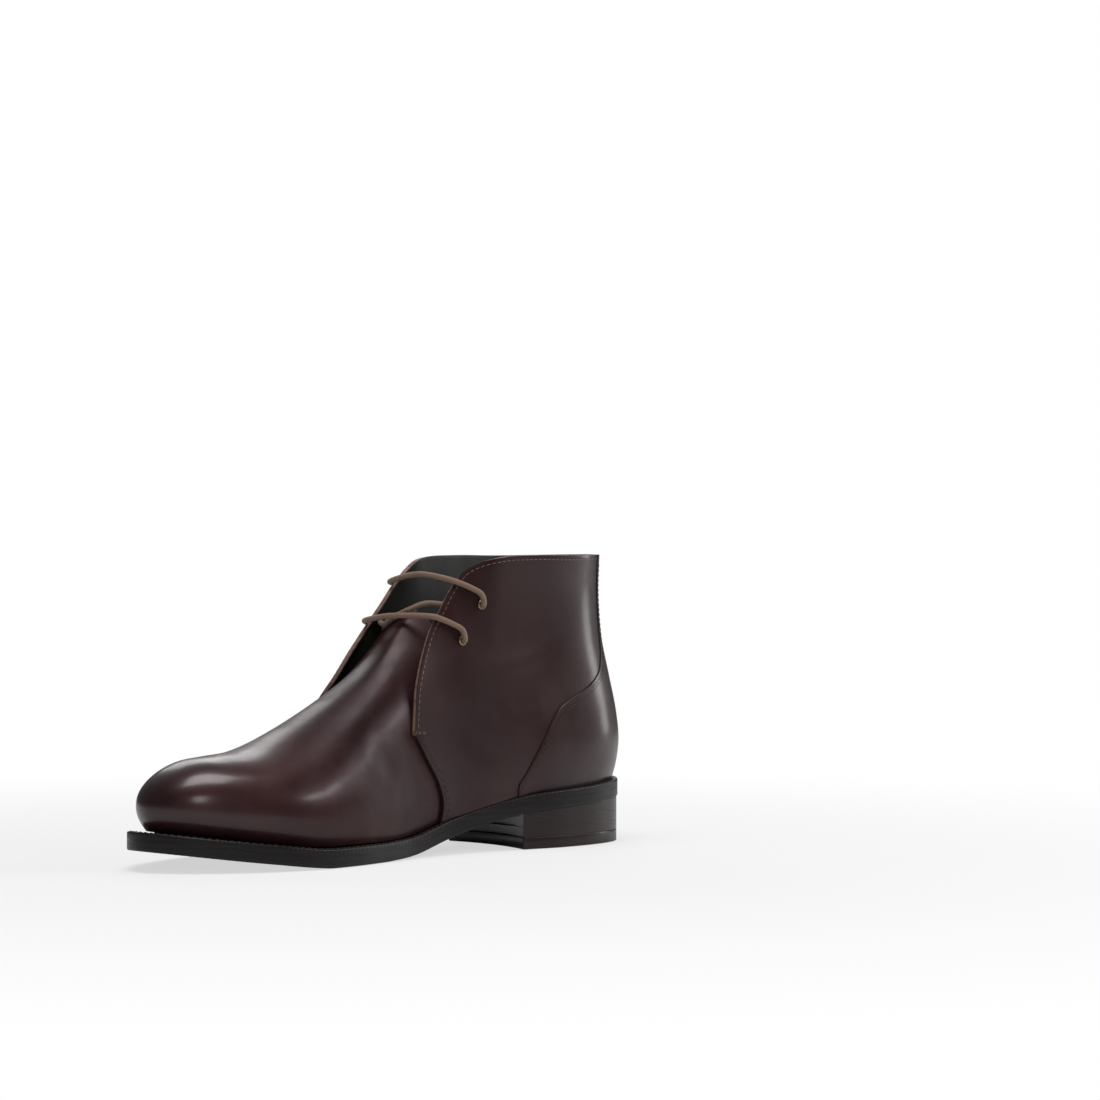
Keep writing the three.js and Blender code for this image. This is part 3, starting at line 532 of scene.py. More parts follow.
def stitchShape():
    # a low sphere, drawn out into a short thread for each stitch
    deselectAll()
    bpy.ops.mesh.primitive_uv_sphere_add(segments=6, ring_count=6, radius=1)
    ball = bpy.context.object
    vertices = np.array([vertex.co for vertex in ball.data.vertices])
    faces = [tuple(face.vertices) for face in ball.data.polygons]
    bpy.data.objects.remove(ball)
    return vertices, faces


stitchVertices, stitchFaces = stitchShape()


def stitchRow(path, normals, settings):
    # stitches one after another along a path that lies on a surface
    path, normals = np.asarray(path, float), np.asarray(normals, float)
    length = runLength(path)
    count = max(int(length / (settings["length"] + settings["gap"])), 1)
    middles = (np.arange(count) + 0.5) / count
    half = settings["length"] / 2 / length
    center = respaced(path, middles)
    before, after = respaced(path, middles - half), respaced(path, middles + half)
    direction = after - before
    direction /= np.linalg.norm(direction, axis=1, keepdims=True)
    share = walked(path) / length
    up = np.stack([np.interp(middles, share, normals[:, k]) for k in range(3)], -1)
    up /= np.linalg.norm(up, axis=1, keepdims=True)
    across = np.cross(up, direction)
    across /= np.linalg.norm(across, axis=1, keepdims=True)
    reach, radius = settings["length"] / 2, settings["thread"] / 2
    wide, high, long = stitchVertices[:, 0:1], stitchVertices[:, 1:2], stitchVertices[:, 2:3]
    # the ends dip into the leather
    rise = high * radius - settings["dip"] * long**4 + settings["thread"] * settings["raised"]
    stack, faces = [], []
    for k in range(count):
        shape = long * reach * direction[k] + wide * radius * across[k]
        stack.append(center[k] + shape + rise * up[k])
        faces += [tuple(index + k * len(stitchVertices) for index in face) for face in stitchFaces]
    return np.concatenate(stack), faces


def stitchPiece(rows, name, material, settings=stitch):
    vertices, faces = [], []
    for path, normals in rows:
        moreVertices, moreFaces = stitchRow(path, normals, settings)
        start = sum(len(block) for block in vertices)
        vertices.append(moreVertices)
        faces += [tuple(index + start for index in face) for face in moreFaces]
    piece = meshPiece(name, np.concatenate(vertices), faces, merge["fine"])
    return finishPiece(piece, name, [material])


# Shared effects

def nodeGroup(name, inputs, outputs):
    group = bpy.data.node_groups.new(name, "ShaderNodeTree")
    for label, kind, value in inputs:
        socket = group.interface.new_socket(name=label, in_out="INPUT", socket_type=kind)
        if value is not None:
            socket.default_value = value
    for label, kind in outputs:
        group.interface.new_socket(name=label, in_out="OUTPUT", socket_type=kind)
    start = group.nodes.new("NodeGroupInput")
    end = group.nodes.new("NodeGroupOutput")
    return group, start, end


def feed(tree, socket, value):
    # a socket takes a plain value or a link from another node
    if isinstance(value, (int, float, tuple)):
        socket.default_value = value
    else:
        tree.links.new(value, socket)


def noiseNode(tree, vector, scale, detail=3, roughness=0.5):
    node = tree.nodes.new("ShaderNodeTexNoise")
    node.inputs["Detail"].default_value = detail
    node.inputs["Roughness"].default_value = roughness
    feed(tree, node.inputs["Scale"], scale)
    tree.links.new(vector, node.inputs["Vector"])
    return node


def rampNode(tree, value, low, high, fromValue=0.0, toValue=1.0):
    node = tree.nodes.new("ShaderNodeMapRange")
    node.interpolation_type = "SMOOTHSTEP"
    node.inputs["From Min"].default_value = low
    node.inputs["From Max"].default_value = high
    node.inputs["To Min"].default_value = fromValue
    node.inputs["To Max"].default_value = toValue
    tree.links.new(value, node.inputs["Value"])
    return node.outputs["Result"]


def mathNode(tree, operation, first, second):
    node = tree.nodes.new("ShaderNodeMath")
    node.operation = operation
    for socket, value in zip(node.inputs, (first, second)):
        feed(tree, socket, value)
    return node.outputs[0]


def mixColour(tree, factor, first, second):
    node = tree.nodes.new("ShaderNodeMix")
    node.data_type = "RGBA"
    # a mix node keeps its colour sockets at these places
    for place, value in ((0, factor), (6, first), (7, second)):
        feed(tree, node.inputs[place], value)
    return node.outputs[2]


def calfGroup():
    # polished calf: cloudy wax tone, fine creased grain and a little unevenness in the shine
    group, start, end = nodeGroup("polishedCalf", [
        ("Vector", "NodeSocketVector", None),
        ("Deep", "NodeSocketColor", (0.02, 0.01, 0.01, 1)),
        ("Warm", "NodeSocketColor", (0.06, 0.03, 0.03, 1)),
        ("Cloud Size", "NodeSocketFloat", 18.0),
        ("Grain Size", "NodeSocketFloat", 900.0),
    ], [("Colour", "NodeSocketColor"), ("Shine", "NodeSocketFloat"), ("Grain", "NodeSocketFloat")])
    vector = start.outputs["Vector"]
    cloud = noiseNode(group, vector, start.outputs["Cloud Size"], 4, 0.55)
    tone = rampNode(group, cloud.outputs["Fac"], 0.32, 0.7)
    colour = mixColour(group, tone, start.outputs["Deep"], start.outputs["Warm"])
    fine = noiseNode(group, vector, start.outputs["Grain Size"], 3, 0.6)
    cells = group.nodes.new("ShaderNodeTexVoronoi")
    cells.feature = "SMOOTH_F1"
    group.links.new(vector, cells.inputs["Vector"])
    group.links.new(start.outputs["Grain Size"], cells.inputs["Scale"])
    softer = mathNode(group, "MULTIPLY", fine.outputs["Fac"], 0.6)
    grain = mathNode(group, "ADD", softer, cells.outputs["Distance"])
    smear = noiseNode(group, vector, 55.0, 3, 0.6)
    shine = rampNode(group, smear.outputs["Fac"], 0.3, 0.75)
    group.links.new(colour, end.inputs["Colour"])
    group.links.new(shine, end.inputs["Shine"])
    group.links.new(grain, end.inputs["Grain"])
    return group


calfEffect = calfGroup()


def newMaterial(name, roughness, metallic=0.0, specular=0.5, coat=0.0, coatRoughness=0.1, sheen=0.0):
    material = bpy.data.materials.new(name)
    material.use_nodes = True
    tree = material.node_tree
    shader = tree.nodes["Principled BSDF"]
    shader.inputs["Roughness"].default_value = roughness
    shader.inputs["Metallic"].default_value = metallic
    shader.inputs["Specular IOR Level"].default_value = specular
    shader.inputs["Coat Weight"].default_value = coat
    shader.inputs["Coat Roughness"].default_value = coatRoughness
    shader.inputs["Sheen Weight"].default_value = sheen
    coordinates = tree.nodes.new("ShaderNodeTexCoord")
    return material, tree, shader, coordinates.outputs["Object"]


def bumpInto(tree, shader, height, strength, distance):
    bump = tree.nodes.new("ShaderNodeBump")
    bump.inputs["Strength"].default_value = strength
    bump.inputs["Distance"].default_value = distance
    tree.links.new(height, bump.inputs["Height"])
    tree.links.new(bump.outputs["Normal"], shader.inputs["Normal"])


# gloss is the wax polish along the boot: where it starts and ends, and its weight at both places
vampCalf = {"deep": (0.015, 0.0026, 0.0032, 1), "warm": (0.040, 0.0088, 0.0086, 1), "roughness": 0.42,
            "gloss": (0.05, 0.11, 0.06, 0.6)}
# painted shade: the quarters' calf is the vamp's calf with darker tones, standing in for the shade on the
# boot's upright sides
shadedQuarterCalf = {"deep": (0.014, 0.0022, 0.0026, 1), "warm": (0.024, 0.0046, 0.0038, 1), "roughness": 0.45,
               "gloss": (-0.11, -0.07, 0.5, 0.25)}
polish = {"specular": 0.36, "tint": (1, 0.8, 0.85, 1), "coatRoughness": 0.2, "smoother": 0.05,
          "rougher": 0.07, "grainStrength": 0.12, "grainHeight": 0.00012}


def calfMaterial(name, deep, warm, roughness, gloss):
    material, tree, shader, vector = newMaterial(name, roughness, specular=polish["specular"],
                                                 coatRoughness=polish["coatRoughness"])
    shader.inputs["Specular Tint"].default_value = polish["tint"]
    parts = tree.nodes.new("ShaderNodeSeparateXYZ")
    tree.links.new(vector, parts.inputs[0])
    tree.links.new(rampNode(tree, parts.outputs["Y"], *gloss), shader.inputs["Coat Weight"])
    effect = tree.nodes.new("ShaderNodeGroup")
    effect.node_tree = calfEffect
    effect.inputs["Deep"].default_value = deep
    effect.inputs["Warm"].default_value = warm
    tree.links.new(vector, effect.inputs["Vector"])
    tree.links.new(effect.outputs["Colour"], shader.inputs["Base Color"])
    rough = rampNode(tree, effect.outputs["Shine"], 0, 1, roughness - polish["smoother"],
                     roughness + polish["rougher"])
    tree.links.new(rough, shader.inputs["Roughness"])
    bumpInto(tree, shader, effect.outputs["Grain"], polish["grainStrength"], polish["grainHeight"])
    return material


def plainMaterial(name, dark, light, size, roughness, bumpSize=0.0, **more):
    # one tone broken up by noise, with a bump of its own size
    material, tree, shader, vector = newMaterial(name, roughness, **more)
    cloud = noiseNode(tree, vector, size, 4, 0.6)
    tree.links.new(mixColour(tree, rampNode(tree, cloud.outputs["Fac"], 0.3, 0.7), dark, light),
                   shader.inputs["Base Color"])
    tree.links.new(rampNode(tree, cloud.outputs["Fac"], 0.2, 0.8, roughness + 0.06, roughness - 0.06),
                   shader.inputs["Roughness"])
    if bumpSize:
        fine = noiseNode(tree, vector, bumpSize, 3, 0.6)
        bumpInto(tree, shader, fine.outputs["Fac"], 0.4, 0.0001)
    return material


def layeredMaterial(name, dark, light, layers, roughness, relief, **more):
    # burnished edge of pressed leather: fine level lines over a waxed tone
    material, tree, shader, vector = newMaterial(name, roughness, **more)
    mapping = tree.nodes.new("ShaderNodeMapping")
    mapping.inputs["Scale"].default_value = (6, 6, layers)
    tree.links.new(vector, mapping.inputs["Vector"])
    lines = noiseNode(tree, mapping.outputs["Vector"], 1.0, 5, 0.65)
    cloud = noiseNode(tree, vector, 40.0, 3, 0.5)
    tone = mathNode(tree, "MULTIPLY", rampNode(tree, lines.outputs["Fac"], 0.35, 0.7),
                    rampNode(tree, cloud.outputs["Fac"], 0.25, 0.75, 0.5, 1.0))
    tree.links.new(mixColour(tree, tone, dark, light), shader.inputs["Base Color"])
    tree.links.new(rampNode(tree, lines.outputs["Fac"], 0.3, 0.7, roughness - 0.02, roughness + 0.04),
                   shader.inputs["Roughness"])
    bumpInto(tree, shader, lines.outputs["Fac"], relief, 0.00015)
    return material


def cordMaterial():
    # waxed cord: strands wound round it, read along the cord's own map
    material, tree, shader, vector = newMaterial("waxedCord", 0.62, sheen=0.15)
    wave = tree.nodes.new("ShaderNodeTexWave")
    wave.wave_type = "BANDS"
    wave.bands_direction = "DIAGONAL"
    wave.inputs["Scale"].default_value = 1.0
    wave.inputs["Distortion"].default_value = 0.6
    mapping = tree.nodes.new("ShaderNodeMapping")
    mapping.inputs["Scale"].default_value = (60, 3, 1)
    tree.links.new(vector.node.outputs["UV"], mapping.inputs["Vector"])
    tree.links.new(mapping.outputs["Vector"], wave.inputs["Vector"])
    colour = mixColour(tree, wave.outputs["Fac"], (0.14, 0.082, 0.054, 1), (0.33, 0.21, 0.142, 1))
    tree.links.new(colour, shader.inputs["Base Color"])
    bumpInto(tree, shader, wave.outputs["Fac"], 0.5, 0.00025)
    return material


vampLeather = calfMaterial("vampCalf", **vampCalf)
shadedQuarterLeather = calfMaterial("shadedQuarterCalf", **shadedQuarterCalf)
# dark and light tone, size of the clouds, roughness, size of the grain where there is one
liningLeather = plainMaterial("liningLeather", (0.011, 0.0125, 0.010, 1), (0.022, 0.024, 0.019, 1),
                              60, 0.55, 700)
rawEdge = plainMaterial("rawEdge", (0.16, 0.085, 0.06, 1), (0.3, 0.18, 0.13, 1), 400, 0.6, 900)
darkEdge = plainMaterial("darkEdge", (0.008, 0.004, 0.004, 1), (0.02, 0.011, 0.011, 1), 400, 0.55, 900)
thread = plainMaterial("thread", (0.16, 0.095, 0.065, 1), (0.3, 0.2, 0.15, 1), 900, 0.6)
darkThread = plainMaterial("darkThread", (0.02, 0.01, 0.01, 1), (0.05, 0.03, 0.027, 1), 900, 0.5)
paleThread = plainMaterial("paleThread", (0.25, 0.15, 0.09, 1), (0.4, 0.26, 0.17, 1), 900, 0.6)
# dark and light tone, layers to the metre, roughness, strength of the relief
edgeWax = layeredMaterial("edgeWax", (0.006, 0.0045, 0.0045, 1), (0.014, 0.0105, 0.0105, 1),
                          900, 0.36, 0.08, specular=0.3)
heelWax = layeredMaterial("heelWax", (0.014, 0.0058, 0.0062, 1), (0.019, 0.0060, 0.0066, 1),
                          700, 0.34, 0.015, specular=0.32, coat=0.15)
soleGloss = plainMaterial("soleGloss", (0.075, 0.01, 0.014, 1), (0.12, 0.018, 0.022, 1),
                          25, 0.3, 500, coat=0.3)
soleRubber = plainMaterial("soleRubber", (0.02, 0.02, 0.021, 1), (0.032, 0.032, 0.034, 1),
                           300, 0.7, 1500)
agedBrass = plainMaterial("agedBrass", (0.28, 0.2, 0.11, 1), (0.55, 0.45, 0.28, 1), 800, 0.32, metallic=1.0)
waxedCord = cordMaterial()
print("materials made:", len(bpy.data.materials))


# Creases pressed in by wear and by the last: side, (y, z) points, half width, depth, all in millimetres
creases = [
    (-1, [(172, 36), (178, 48), (182, 58), (183, 68)], 8.0, 0.35),
    (-1, [(190, 33), (195, 44), (196, 54), (193, 63)], 9.0, 0.28),
    (1, [(176, 37), (182, 50), (185, 60), (185, 70)], 8.0, 0.35),
    (1, [(196, 33), (200, 45), (200, 55), (197, 64)], 9.0, 0.28),
    (-1, [(58, 104), (78, 94), (98, 90), (118, 96)], 9.0, 0.55),
    (-1, [(74, 74), (94, 72), (112, 76), (130, 88)], 9.0, 0.45),
    (-1, [(100, 44), (112, 50), (122, 60), (130, 70)], 8.0, 0.3),
    (1, [(60, 106), (80, 98), (100, 94), (118, 100)], 9.0, 0.55),
    (1, [(80, 76), (98, 74), (114, 80), (132, 92)], 9.0, 0.45),
]


# samples along a crease, how fast it fades sideways, and how far from the boot's middle it begins and is full
creaseForm = {"samples": 40, "fade": 2.2, "clearFrom": 2, "clearTo": 12}


def creaseDepth(grid):
    # how far each point of a grid is pushed in
    depth = np.zeros(grid.shape[:2])
    for side, points, width, deep in creases:
        path = respaced(points, np.linspace(0, 1, creaseForm["samples"]))
        apart = np.full(grid.shape[:2], np.inf)
        fade = np.zeros(grid.shape[:2])
        for k, (y, z) in enumerate(path):
            distance = np.hypot(grid[..., 1] - y, grid[..., 2] - z)
            fade = np.where(distance < apart, math.sin(math.pi * (k + 0.5) / len(path)), fade)
            apart = np.minimum(apart, distance)
        near = np.exp(-(apart / width) ** 2 * creaseForm["fade"])
        onSide = smoothStep(creaseForm["clearFrom"], creaseForm["clearTo"], side * grid[..., 0])
        depth += near * fade * onSide * deep
    return depth


# Upper

vamp = {"columns": 76, "rows": 64, "rowSpread": 1.25, "wall": 2.0, "edge": 0.35}


def vampGrid():
    shares = np.sin(np.linspace(0, 1, vamp["columns"] + 1) * math.pi / 2)
    rowShares = np.linspace(0, 1, vamp["rows"] + 1) ** vamp["rowSpread"]
    halves = {}
    for side in (-1, 1):
        yz = sidePatch(respaced(featherLine(seamFoot(side)[0], featherTip), shares),
                       respaced(throatLine(side), shares), respaced(seamLine(side), rowShares),
                       respaced(ridgeLine(), rowShares), shares, rowShares)
        points = surfacePoints(side, yz)
        points[:, -1, 0] = crestX(np.minimum(yz[:, -1, 0], form["lastLength"]))
        halves[side] = points
    return np.concatenate([halves[-1], halves[1][:, -2::-1]], axis=1)


# heights over the last: front where the quarters lap over the vamp, back where the panel lies on them
quarter = {"columns": 84, "seamRows": 34, "facingRows": 44, "front": 1.6, "back": 0.9, "backUntil": 70,
           "frontFrom": 125, "under": -0.15, "lining": -0.6, "play": 0.05, "edge": 0.3, "liningEdge": 0.15,
           "darkBelow": 1}


def quarterHeight(y):
    rise = smoothStep(quarter["backUntil"], quarter["frontFrom"], y)
    return quarter["back"] + (quarter["front"] - quarter["back"]) * rise


def quarterGrid():
    shares = 1 - np.sin((1 - np.linspace(0, 1, quarter["columns"] + 1)) * math.pi / 2)
    seamShares = np.linspace(0, 1, quarter["seamRows"] + 1)
    facingShares = np.linspace(0, 1, quarter["facingRows"] + 1)[1:]
    total = quarter["seamRows"] + quarter["facingRows"]
    rowShares = np.arange(total + 1) / total
    halves = {}
    for side in (-1, 1):
        front = np.concatenate([respaced(seamLine(side), seamShares),
                                respaced(facingEdge(side), facingShares)])
        yz = sidePatch(respaced(featherLine(heelFoot, seamFoot(side)[0]), shares),
                       respaced(collarLine(side), shares), respaced(heelLine(), rowShares), front,
                       shares, rowShares)
        halves[side] = surfacePoints(side, yz)
    return roundHeel(halves)


quarterPoints = quarterGrid()
quarterNormals = gridNormals(quarterPoints, 1)
quarterPoints = quarterPoints - quarterNormals * creaseDepth(quarterPoints)[..., None]
quarters = wallPiece(quarterPoints + quarterNormals * quarterHeight(quarterPoints[..., 1])[..., None],
                     quarterPoints + quarterNormals * quarter["under"], "quarters",
                     [shadedQuarterLeather, liningLeather, rawEdge, darkEdge], ["upper"],
                     quarter["edge"])
# the raw edge is the third material, and turns to the fourth along the lower seam
for face in quarters.data.polygons:
    if face.material_index == 2 and face.center.z < (vHeight - quarter["darkBelow"]) * mm:
        face.material_index = 3
wallPiece(quarterPoints + quarterNormals * (quarter["under"] - quarter["play"]),
          quarterPoints + quarterNormals * quarter["lining"],
          "quarterLining", [liningLeather], ["upper"], quarter["liningEdge"])
print("quarters and lining made")

counter = {"columns": 30, "rows": 90, "spread": 1.3, "top": 0.995, "over": 0.05, "thick": 0.55,
           "sunk": 0.3, "edge": 0.25}


def counterGrid():
    rowShares = np.linspace(0, 1, counter["rows"] + 1)
    shares = np.linspace(0, 1, counter["columns"] + 1) ** counter["spread"]
    low, high = float(featherHeight(heelFoot)), form["collarHeight"] * counter["top"]
    edge = counterLine(np.linspace(low, high, 200))
    halves = {}
    for side in (-1, 1):
        bottom = featherLine(heelFoot, edge[0][0])
        top = collarLine(side, edge[-1][0])
        edgeLine = np.concatenate([[bottom[-1]], edge[1:-1], [top[-1]]])
        yz = sidePatch(respaced(bottom, shares), respaced(top, shares), respaced(heelLine(), rowShares),
                       respaced(edgeLine, rowShares), shares, rowShares)
        halves[side] = surfacePoints(side, yz)
    return roundHeel(halves)


counterPoints = counterGrid()
counterNormals = gridNormals(counterPoints, 1)
counterPoints = counterPoints - counterNormals * creaseDepth(counterPoints)[..., None]
counterOuter = quarterHeight(counterPoints[..., 1])[..., None] + counter["over"]
wallPiece(counterPoints + counterNormals * (counterOuter + counter["thick"]),
          counterPoints + counterNormals * (counterOuter - counter["sunk"]), "counterPanel",
          [shadedQuarterLeather, shadedQuarterLeather, darkEdge], ["upper"], counter["edge"])
print("counter panel made")

# tuck and drop hide the tongue's edge under the facings; flow and middle even out its root and its middle
tongue = {"rows": 64, "flatness": 1.4, "edgeHeight": 0.9, "reach": 0.94, "lapUnder": 2.5, "tuck": 7.5,
          "tuckFrom": 0.05, "shoulder": 0.85, "rootDrop": 0.9, "drop": 3.8, "settle": 3,
          "pull": 0.5, "flow": 11, "flowPasses": 260, "seamClear": 9,
          "middle": 14, "middlePasses": 50, "middleFrom": 12, "middleFull": 6}


def framedPoint(side, y, z, rise):
    # point on the leather's inner form, raised along its outward normal
    yz = np.array([y, z], float)
    return surfacePoints(side, yz) + surfaceNormals(side, yz) * rise


def tongueEdge(side, share):
    high = form["tongueHeight"] * tongue["edgeHeight"]
    z = vHeight + (high - vHeight) * share
    tucked = float(smoothStep(tongue["tuckFrom"], tongue["shoulder"], share))
    dropped = float(smoothStep(0, tongue["shoulder"], share))
    under = tucked * tongue["tuck"] + tongue["lapUnder"]
    drop = tongue["rootDrop"] + (tongue["drop"] - tongue["rootDrop"]) * dropped
    return framedPoint(side, facingY(side, z) - under, z, -drop)


def tongueArch(across, edge, top):
    bend = 1 - across ** tongue["flatness"]
    return np.array([top[0] + (edge[0] - top[0]) * across, edge[1] + (top[1] - edge[1]) * bend,
                     edge[2] + (top[2] - edge[2]) * bend])


def tongueTop(rise):
    return np.array([float(readTable(tongueCrest, 3, rise)) * form["ballWidth"] / 2,
                     float(readTable(tongueCrest, 1, rise)) * form["lastLength"],
                     float(readTable(tongueCrest, 2, rise)) * form["tongueHeight"]])


def tongueGrid():
    # its columns start from the vamp's and spread evenly towards the top
    columns, rows = vamp["columns"], tongue["rows"]
    rises = np.linspace(0, tongue["reach"], rows + 1)
    tops = [tongueTop(rise) for rise in rises]
    grid = np.empty((rows + 1, 2 * columns + 1, 3))
    for side in (-1, 1):
        edges = [tongueEdge(side, rise) for rise in rises]
        firstEdge, firstTop = tongueEdge(side, 0), tongueTop(0)
        for c in range(columns + 1):
            across = c / columns
            if c == 0:
                throat = np.array([float(crestX(throatY)), throatY, float(ridgeHeight(throatY))])
            else:
                share = math.sin((1 - across) * math.pi / 2)
                throat = surfacePoints(side, respaced(throatLine(side), [share])[0])
            settle = throat - tongueArch(across, firstEdge, firstTop)
            for r, rise in enumerate(rises):
                point = tongueArch(across, edges[r], tops[r])
                grid[r, columns + side * c] = point + settle * (1 - rise) ** tongue["settle"]
    return grid


def evenOut(grid, weight, passes):
    # every inner row is pulled towards the middle of its neighbours
    for _ in range(passes):
        even = (grid[2:] + grid[:-2]) / 2
        grid[1:-1] += tongue["pull"] * weight * (even - grid[1:-1])


tonguePoints = tongueGrid()
tongueNormals = gridNormals(tonguePoints, -1)
frontPoints = np.concatenate([vampGrid(), tonguePoints[1:]])
# the skin flows from vamp to tongue: rows near the throat are evened out, less so beside the seam
rowNumbers, columnNumbers = np.arange(len(frontPoints)), np.arange(frontPoints.shape[1])
fromThroat = (rowNumbers - vamp["rows"]) / tongue["flow"]
fromSeam = np.minimum(columnNumbers, columnNumbers[::-1])
flow = np.exp(-fromThroat**2)[1:-1, None, None] * smoothStep(0, tongue["seamClear"], fromSeam)[None, :, None]
evenOut(frontPoints, flow, tongue["flowPasses"])
# the tongue is rounded over its middle, where both halves meet
fromMiddle = np.abs(columnNumbers - vamp["columns"])[1:-1] / tongue["middle"]
upwards = smoothStep(vamp["rows"] - tongue["middleFrom"], vamp["rows"] + tongue["middleFull"], rowNumbers)
rounded = np.exp(-fromMiddle**2)[:, None, None] * upwards[None, :, None]
evenOut(np.swapaxes(frontPoints, 0, 1), rounded, tongue["middlePasses"])
frontNormals = gridNormals(frontPoints, -1)
frontPoints = frontPoints - frontNormals * creaseDepth(frontPoints)[..., None]
wallPiece(frontPoints, frontPoints - frontNormals * vamp["wall"], "vampAndTongue",
          [vampLeather, liningLeather, rawEdge], ["upper", "tongue"], vamp["edge"])
print("vamp and tongue made")


# Stitching on the upper

# distances of the rows from their edges; the trims are the points left off at both ends of a row
seam = {"edgeRow": 2.1, "secondRow": 3.7, "counterRow": 1.8, "counterSecond": 3.3,
        "facingTrim": slice(6, -10), "frontTrim": slice(5, -3), "counterTrim": slice(4, -2),
        "tackLength": 6.0, "tackStart": 0.4, "tackDrop": 0.4, "tackApart": 0.8,
        "counterFoot": 2, "counterTop": 0.975}
counterStitch = {**stitch, "length": 1.9, "gap": 0.6, "thread": 0.3}


def offsetLine(line, distance):
    # side view line moved behind or below itself
    along = np.gradient(line, axis=0)
    along /= np.linalg.norm(along, axis=1, keepdims=True)
    return line + np.stack([-along[:, 1], along[:, 0]], -1) * distance


def onUpper(side, line, raised=0.0):
    # points of a side view line on the quarters' surface, and their normals
    points, normals = surfacePoints(side, line), surfaceNormals(side, line)
    outer = quarterHeight(points[:, 1]) - creaseDepth(points[None])[0] + raised
    return points + normals * outer[:, None], normals


counterFront = float(featherHeight(90.0)) + seam["counterFoot"], form["collarHeight"] * seam["counterTop"]
lightRows, seamRows, counterRows = [], [], []
for side in (-1, 1):
    facing = facingEdge(side)
    around = respaced(np.concatenate([facing, collarLine(side)[::-1][1:]]), np.linspace(0, 1, 500))
    lightRows.append(onUpper(side, offsetLine(around, seam["edgeRow"])[seam["facingTrim"]]))
    front = respaced(seamLine(side), np.linspace(0, 1, 120))
    for distance in (seam["edgeRow"], seam["secondRow"]):
        seamRows.append(onUpper(side, offsetLine(front, distance)[seam["frontTrim"]]))
    tackFrom = facing[0] - [seam["edgeRow"] - seam["tackStart"], seam["tackDrop"]]
    tackTo = facing[0] - [seam["edgeRow"] + seam["tackLength"], seam["tackDrop"]]
    tack = np.linspace(tackFrom, tackTo, 12)
    for rise in (0, seam["tackApart"]):
        lightRows.append(onUpper(side, tack + [0, rise]))
    edge = counterLine(np.linspace(*counterFront, 200))
    for distance in (seam["counterRow"], seam["counterSecond"]):
        row = offsetLine(edge, distance)[seam["counterTrim"]]
        counterRows.append(onUpper(side, row, counter["over"] + counter["thick"]))
stitchPiece(lightRows, "facingStitches", thread)
stitchPiece(seamRows, "seamStitches", darkThread)
stitchPiece(counterRows, "counterStitches", darkThread, counterStitch)
print("upper stitched")

backSeam = {"width": 0.9, "height": 0.3, "sunk": 0.4, "foot": 0.5, "top": 0.985, "rows": 80, "columns": 9}


def backPoint(x, z, raised):
    # point on the heel's back line and beside it, raised outward
    levelShare = np.asarray(z) / form["collarHeight"]
    half = readTable(heelLoops, 2, levelShare) * form["counterWidth"] / 2
    reach = readTable(heelLoops, 4, levelShare) * form["collarLength"]
    slope = 2 * x * reach / (rear["round"] * half**2)
    size = np.sqrt(1 + slope**2)
    y = backY(z) + reach * x**2 / (rear["round"] * half**2)
    return np.stack([x + raised * slope / size, y - raised / size, np.asarray(z, float)], -1)


skinHeight = quarter["back"] + counter["over"] + counter["thick"]
seamX, seamZ = np.meshgrid(
    np.linspace(-1, 1, backSeam["columns"]) * backSeam["width"],
    np.linspace(float(featherHeight(0.0)) + backSeam["foot"], form["collarHeight"] * backSeam["top"],
                backSeam["rows"]))
ridge = backSeam["height"] * (1 - (seamX / backSeam["width"]) ** 2)
wallPiece(backPoint(seamX, seamZ, skinHeight + ridge), backPoint(seamX, seamZ, skinHeight - backSeam["sunk"]),
          "backSeam", [shadedQuarterLeather], ["upper"], 0)
print("back seam made")


# Sole and heel

def outlineRing(points, inset):
    # closed outline moved inward
    before, after = np.roll(points, 1, axis=0), np.roll(points, -1, axis=0)
    along = after - before
    along /= np.maximum(np.linalg.norm(along, axis=1, keepdims=True), 1e-9)
    inward = np.stack([along[:, 1], -along[:, 0]], -1)
    area = 0.5 * np.sum(points[:, 0] * np.roll(points[:, 1], -1) - points[:, 1] * np.roll(points[:, 0], -1))
    return points + inward * np.reshape(inset, (-1, 1)) * (-1 if area > 0 else 1)


def soleRing(count):
    turn = np.linspace(0, math.pi, count + 1)
    y = soleLength * (1 - np.cos(turn)) / 2
    medial = np.stack([-soleHalf(-1, y), y], -1)
    lateral = np.stack([soleHalf(1, y), y], -1)
    return np.concatenate([medial, lateral[-2:0:-1]])


def platePiece(ring, lower, upper, profile, name, materials, replaces, marks=None):
    # solid plate: outline rings up its edge, closed below and above by strips from side to side
    # its materials are for the edge, the underside and the top, the last one standing in for what is missing
    count = len(ring)
    rings = []
    for inset, level in profile:
        if marks and level >= marks["from"]:
            wave = 0.5 + 0.5 * np.cos(np.arange(count) * 2 * math.pi / marks["points"])
            inset = inset + marks["depth"] * wave
        flat = outlineRing(ring, inset)
        y = flat[:, 1]
        z = lower(y) + (upper(y) - lower(y)) * level
        rings.append(np.stack([flat[:, 0], y, z], -1))
    half = count // 2
    faces = []
    for k in range(len(rings) - 1):
        a, b = k * count, (k + 1) * count
        for i in range(count):
            j = (i + 1) % count
            faces.append((a + j, a + i, b + i, b + j))
    kinds = [0] * len(faces)
    for base, flip in ((0, False), ((len(rings) - 1) * count, True)):
        for i in range(half):
            j, m, n = i + 1, (count - i) % count, count - i - 1
            face = [base + i, base + j, base + n % count, base + m]
            face = [value for k, value in enumerate(face) if value not in face[:k]]
            faces.append(tuple(face[::-1] if flip else face))
            kinds.append(2 if flip else 1)
    piece = meshPiece(name, np.concatenate(rings), faces, merge["plate"], materials, kinds)
    return finishPiece(piece, name, materials, replaces)


profileInset = 1.5


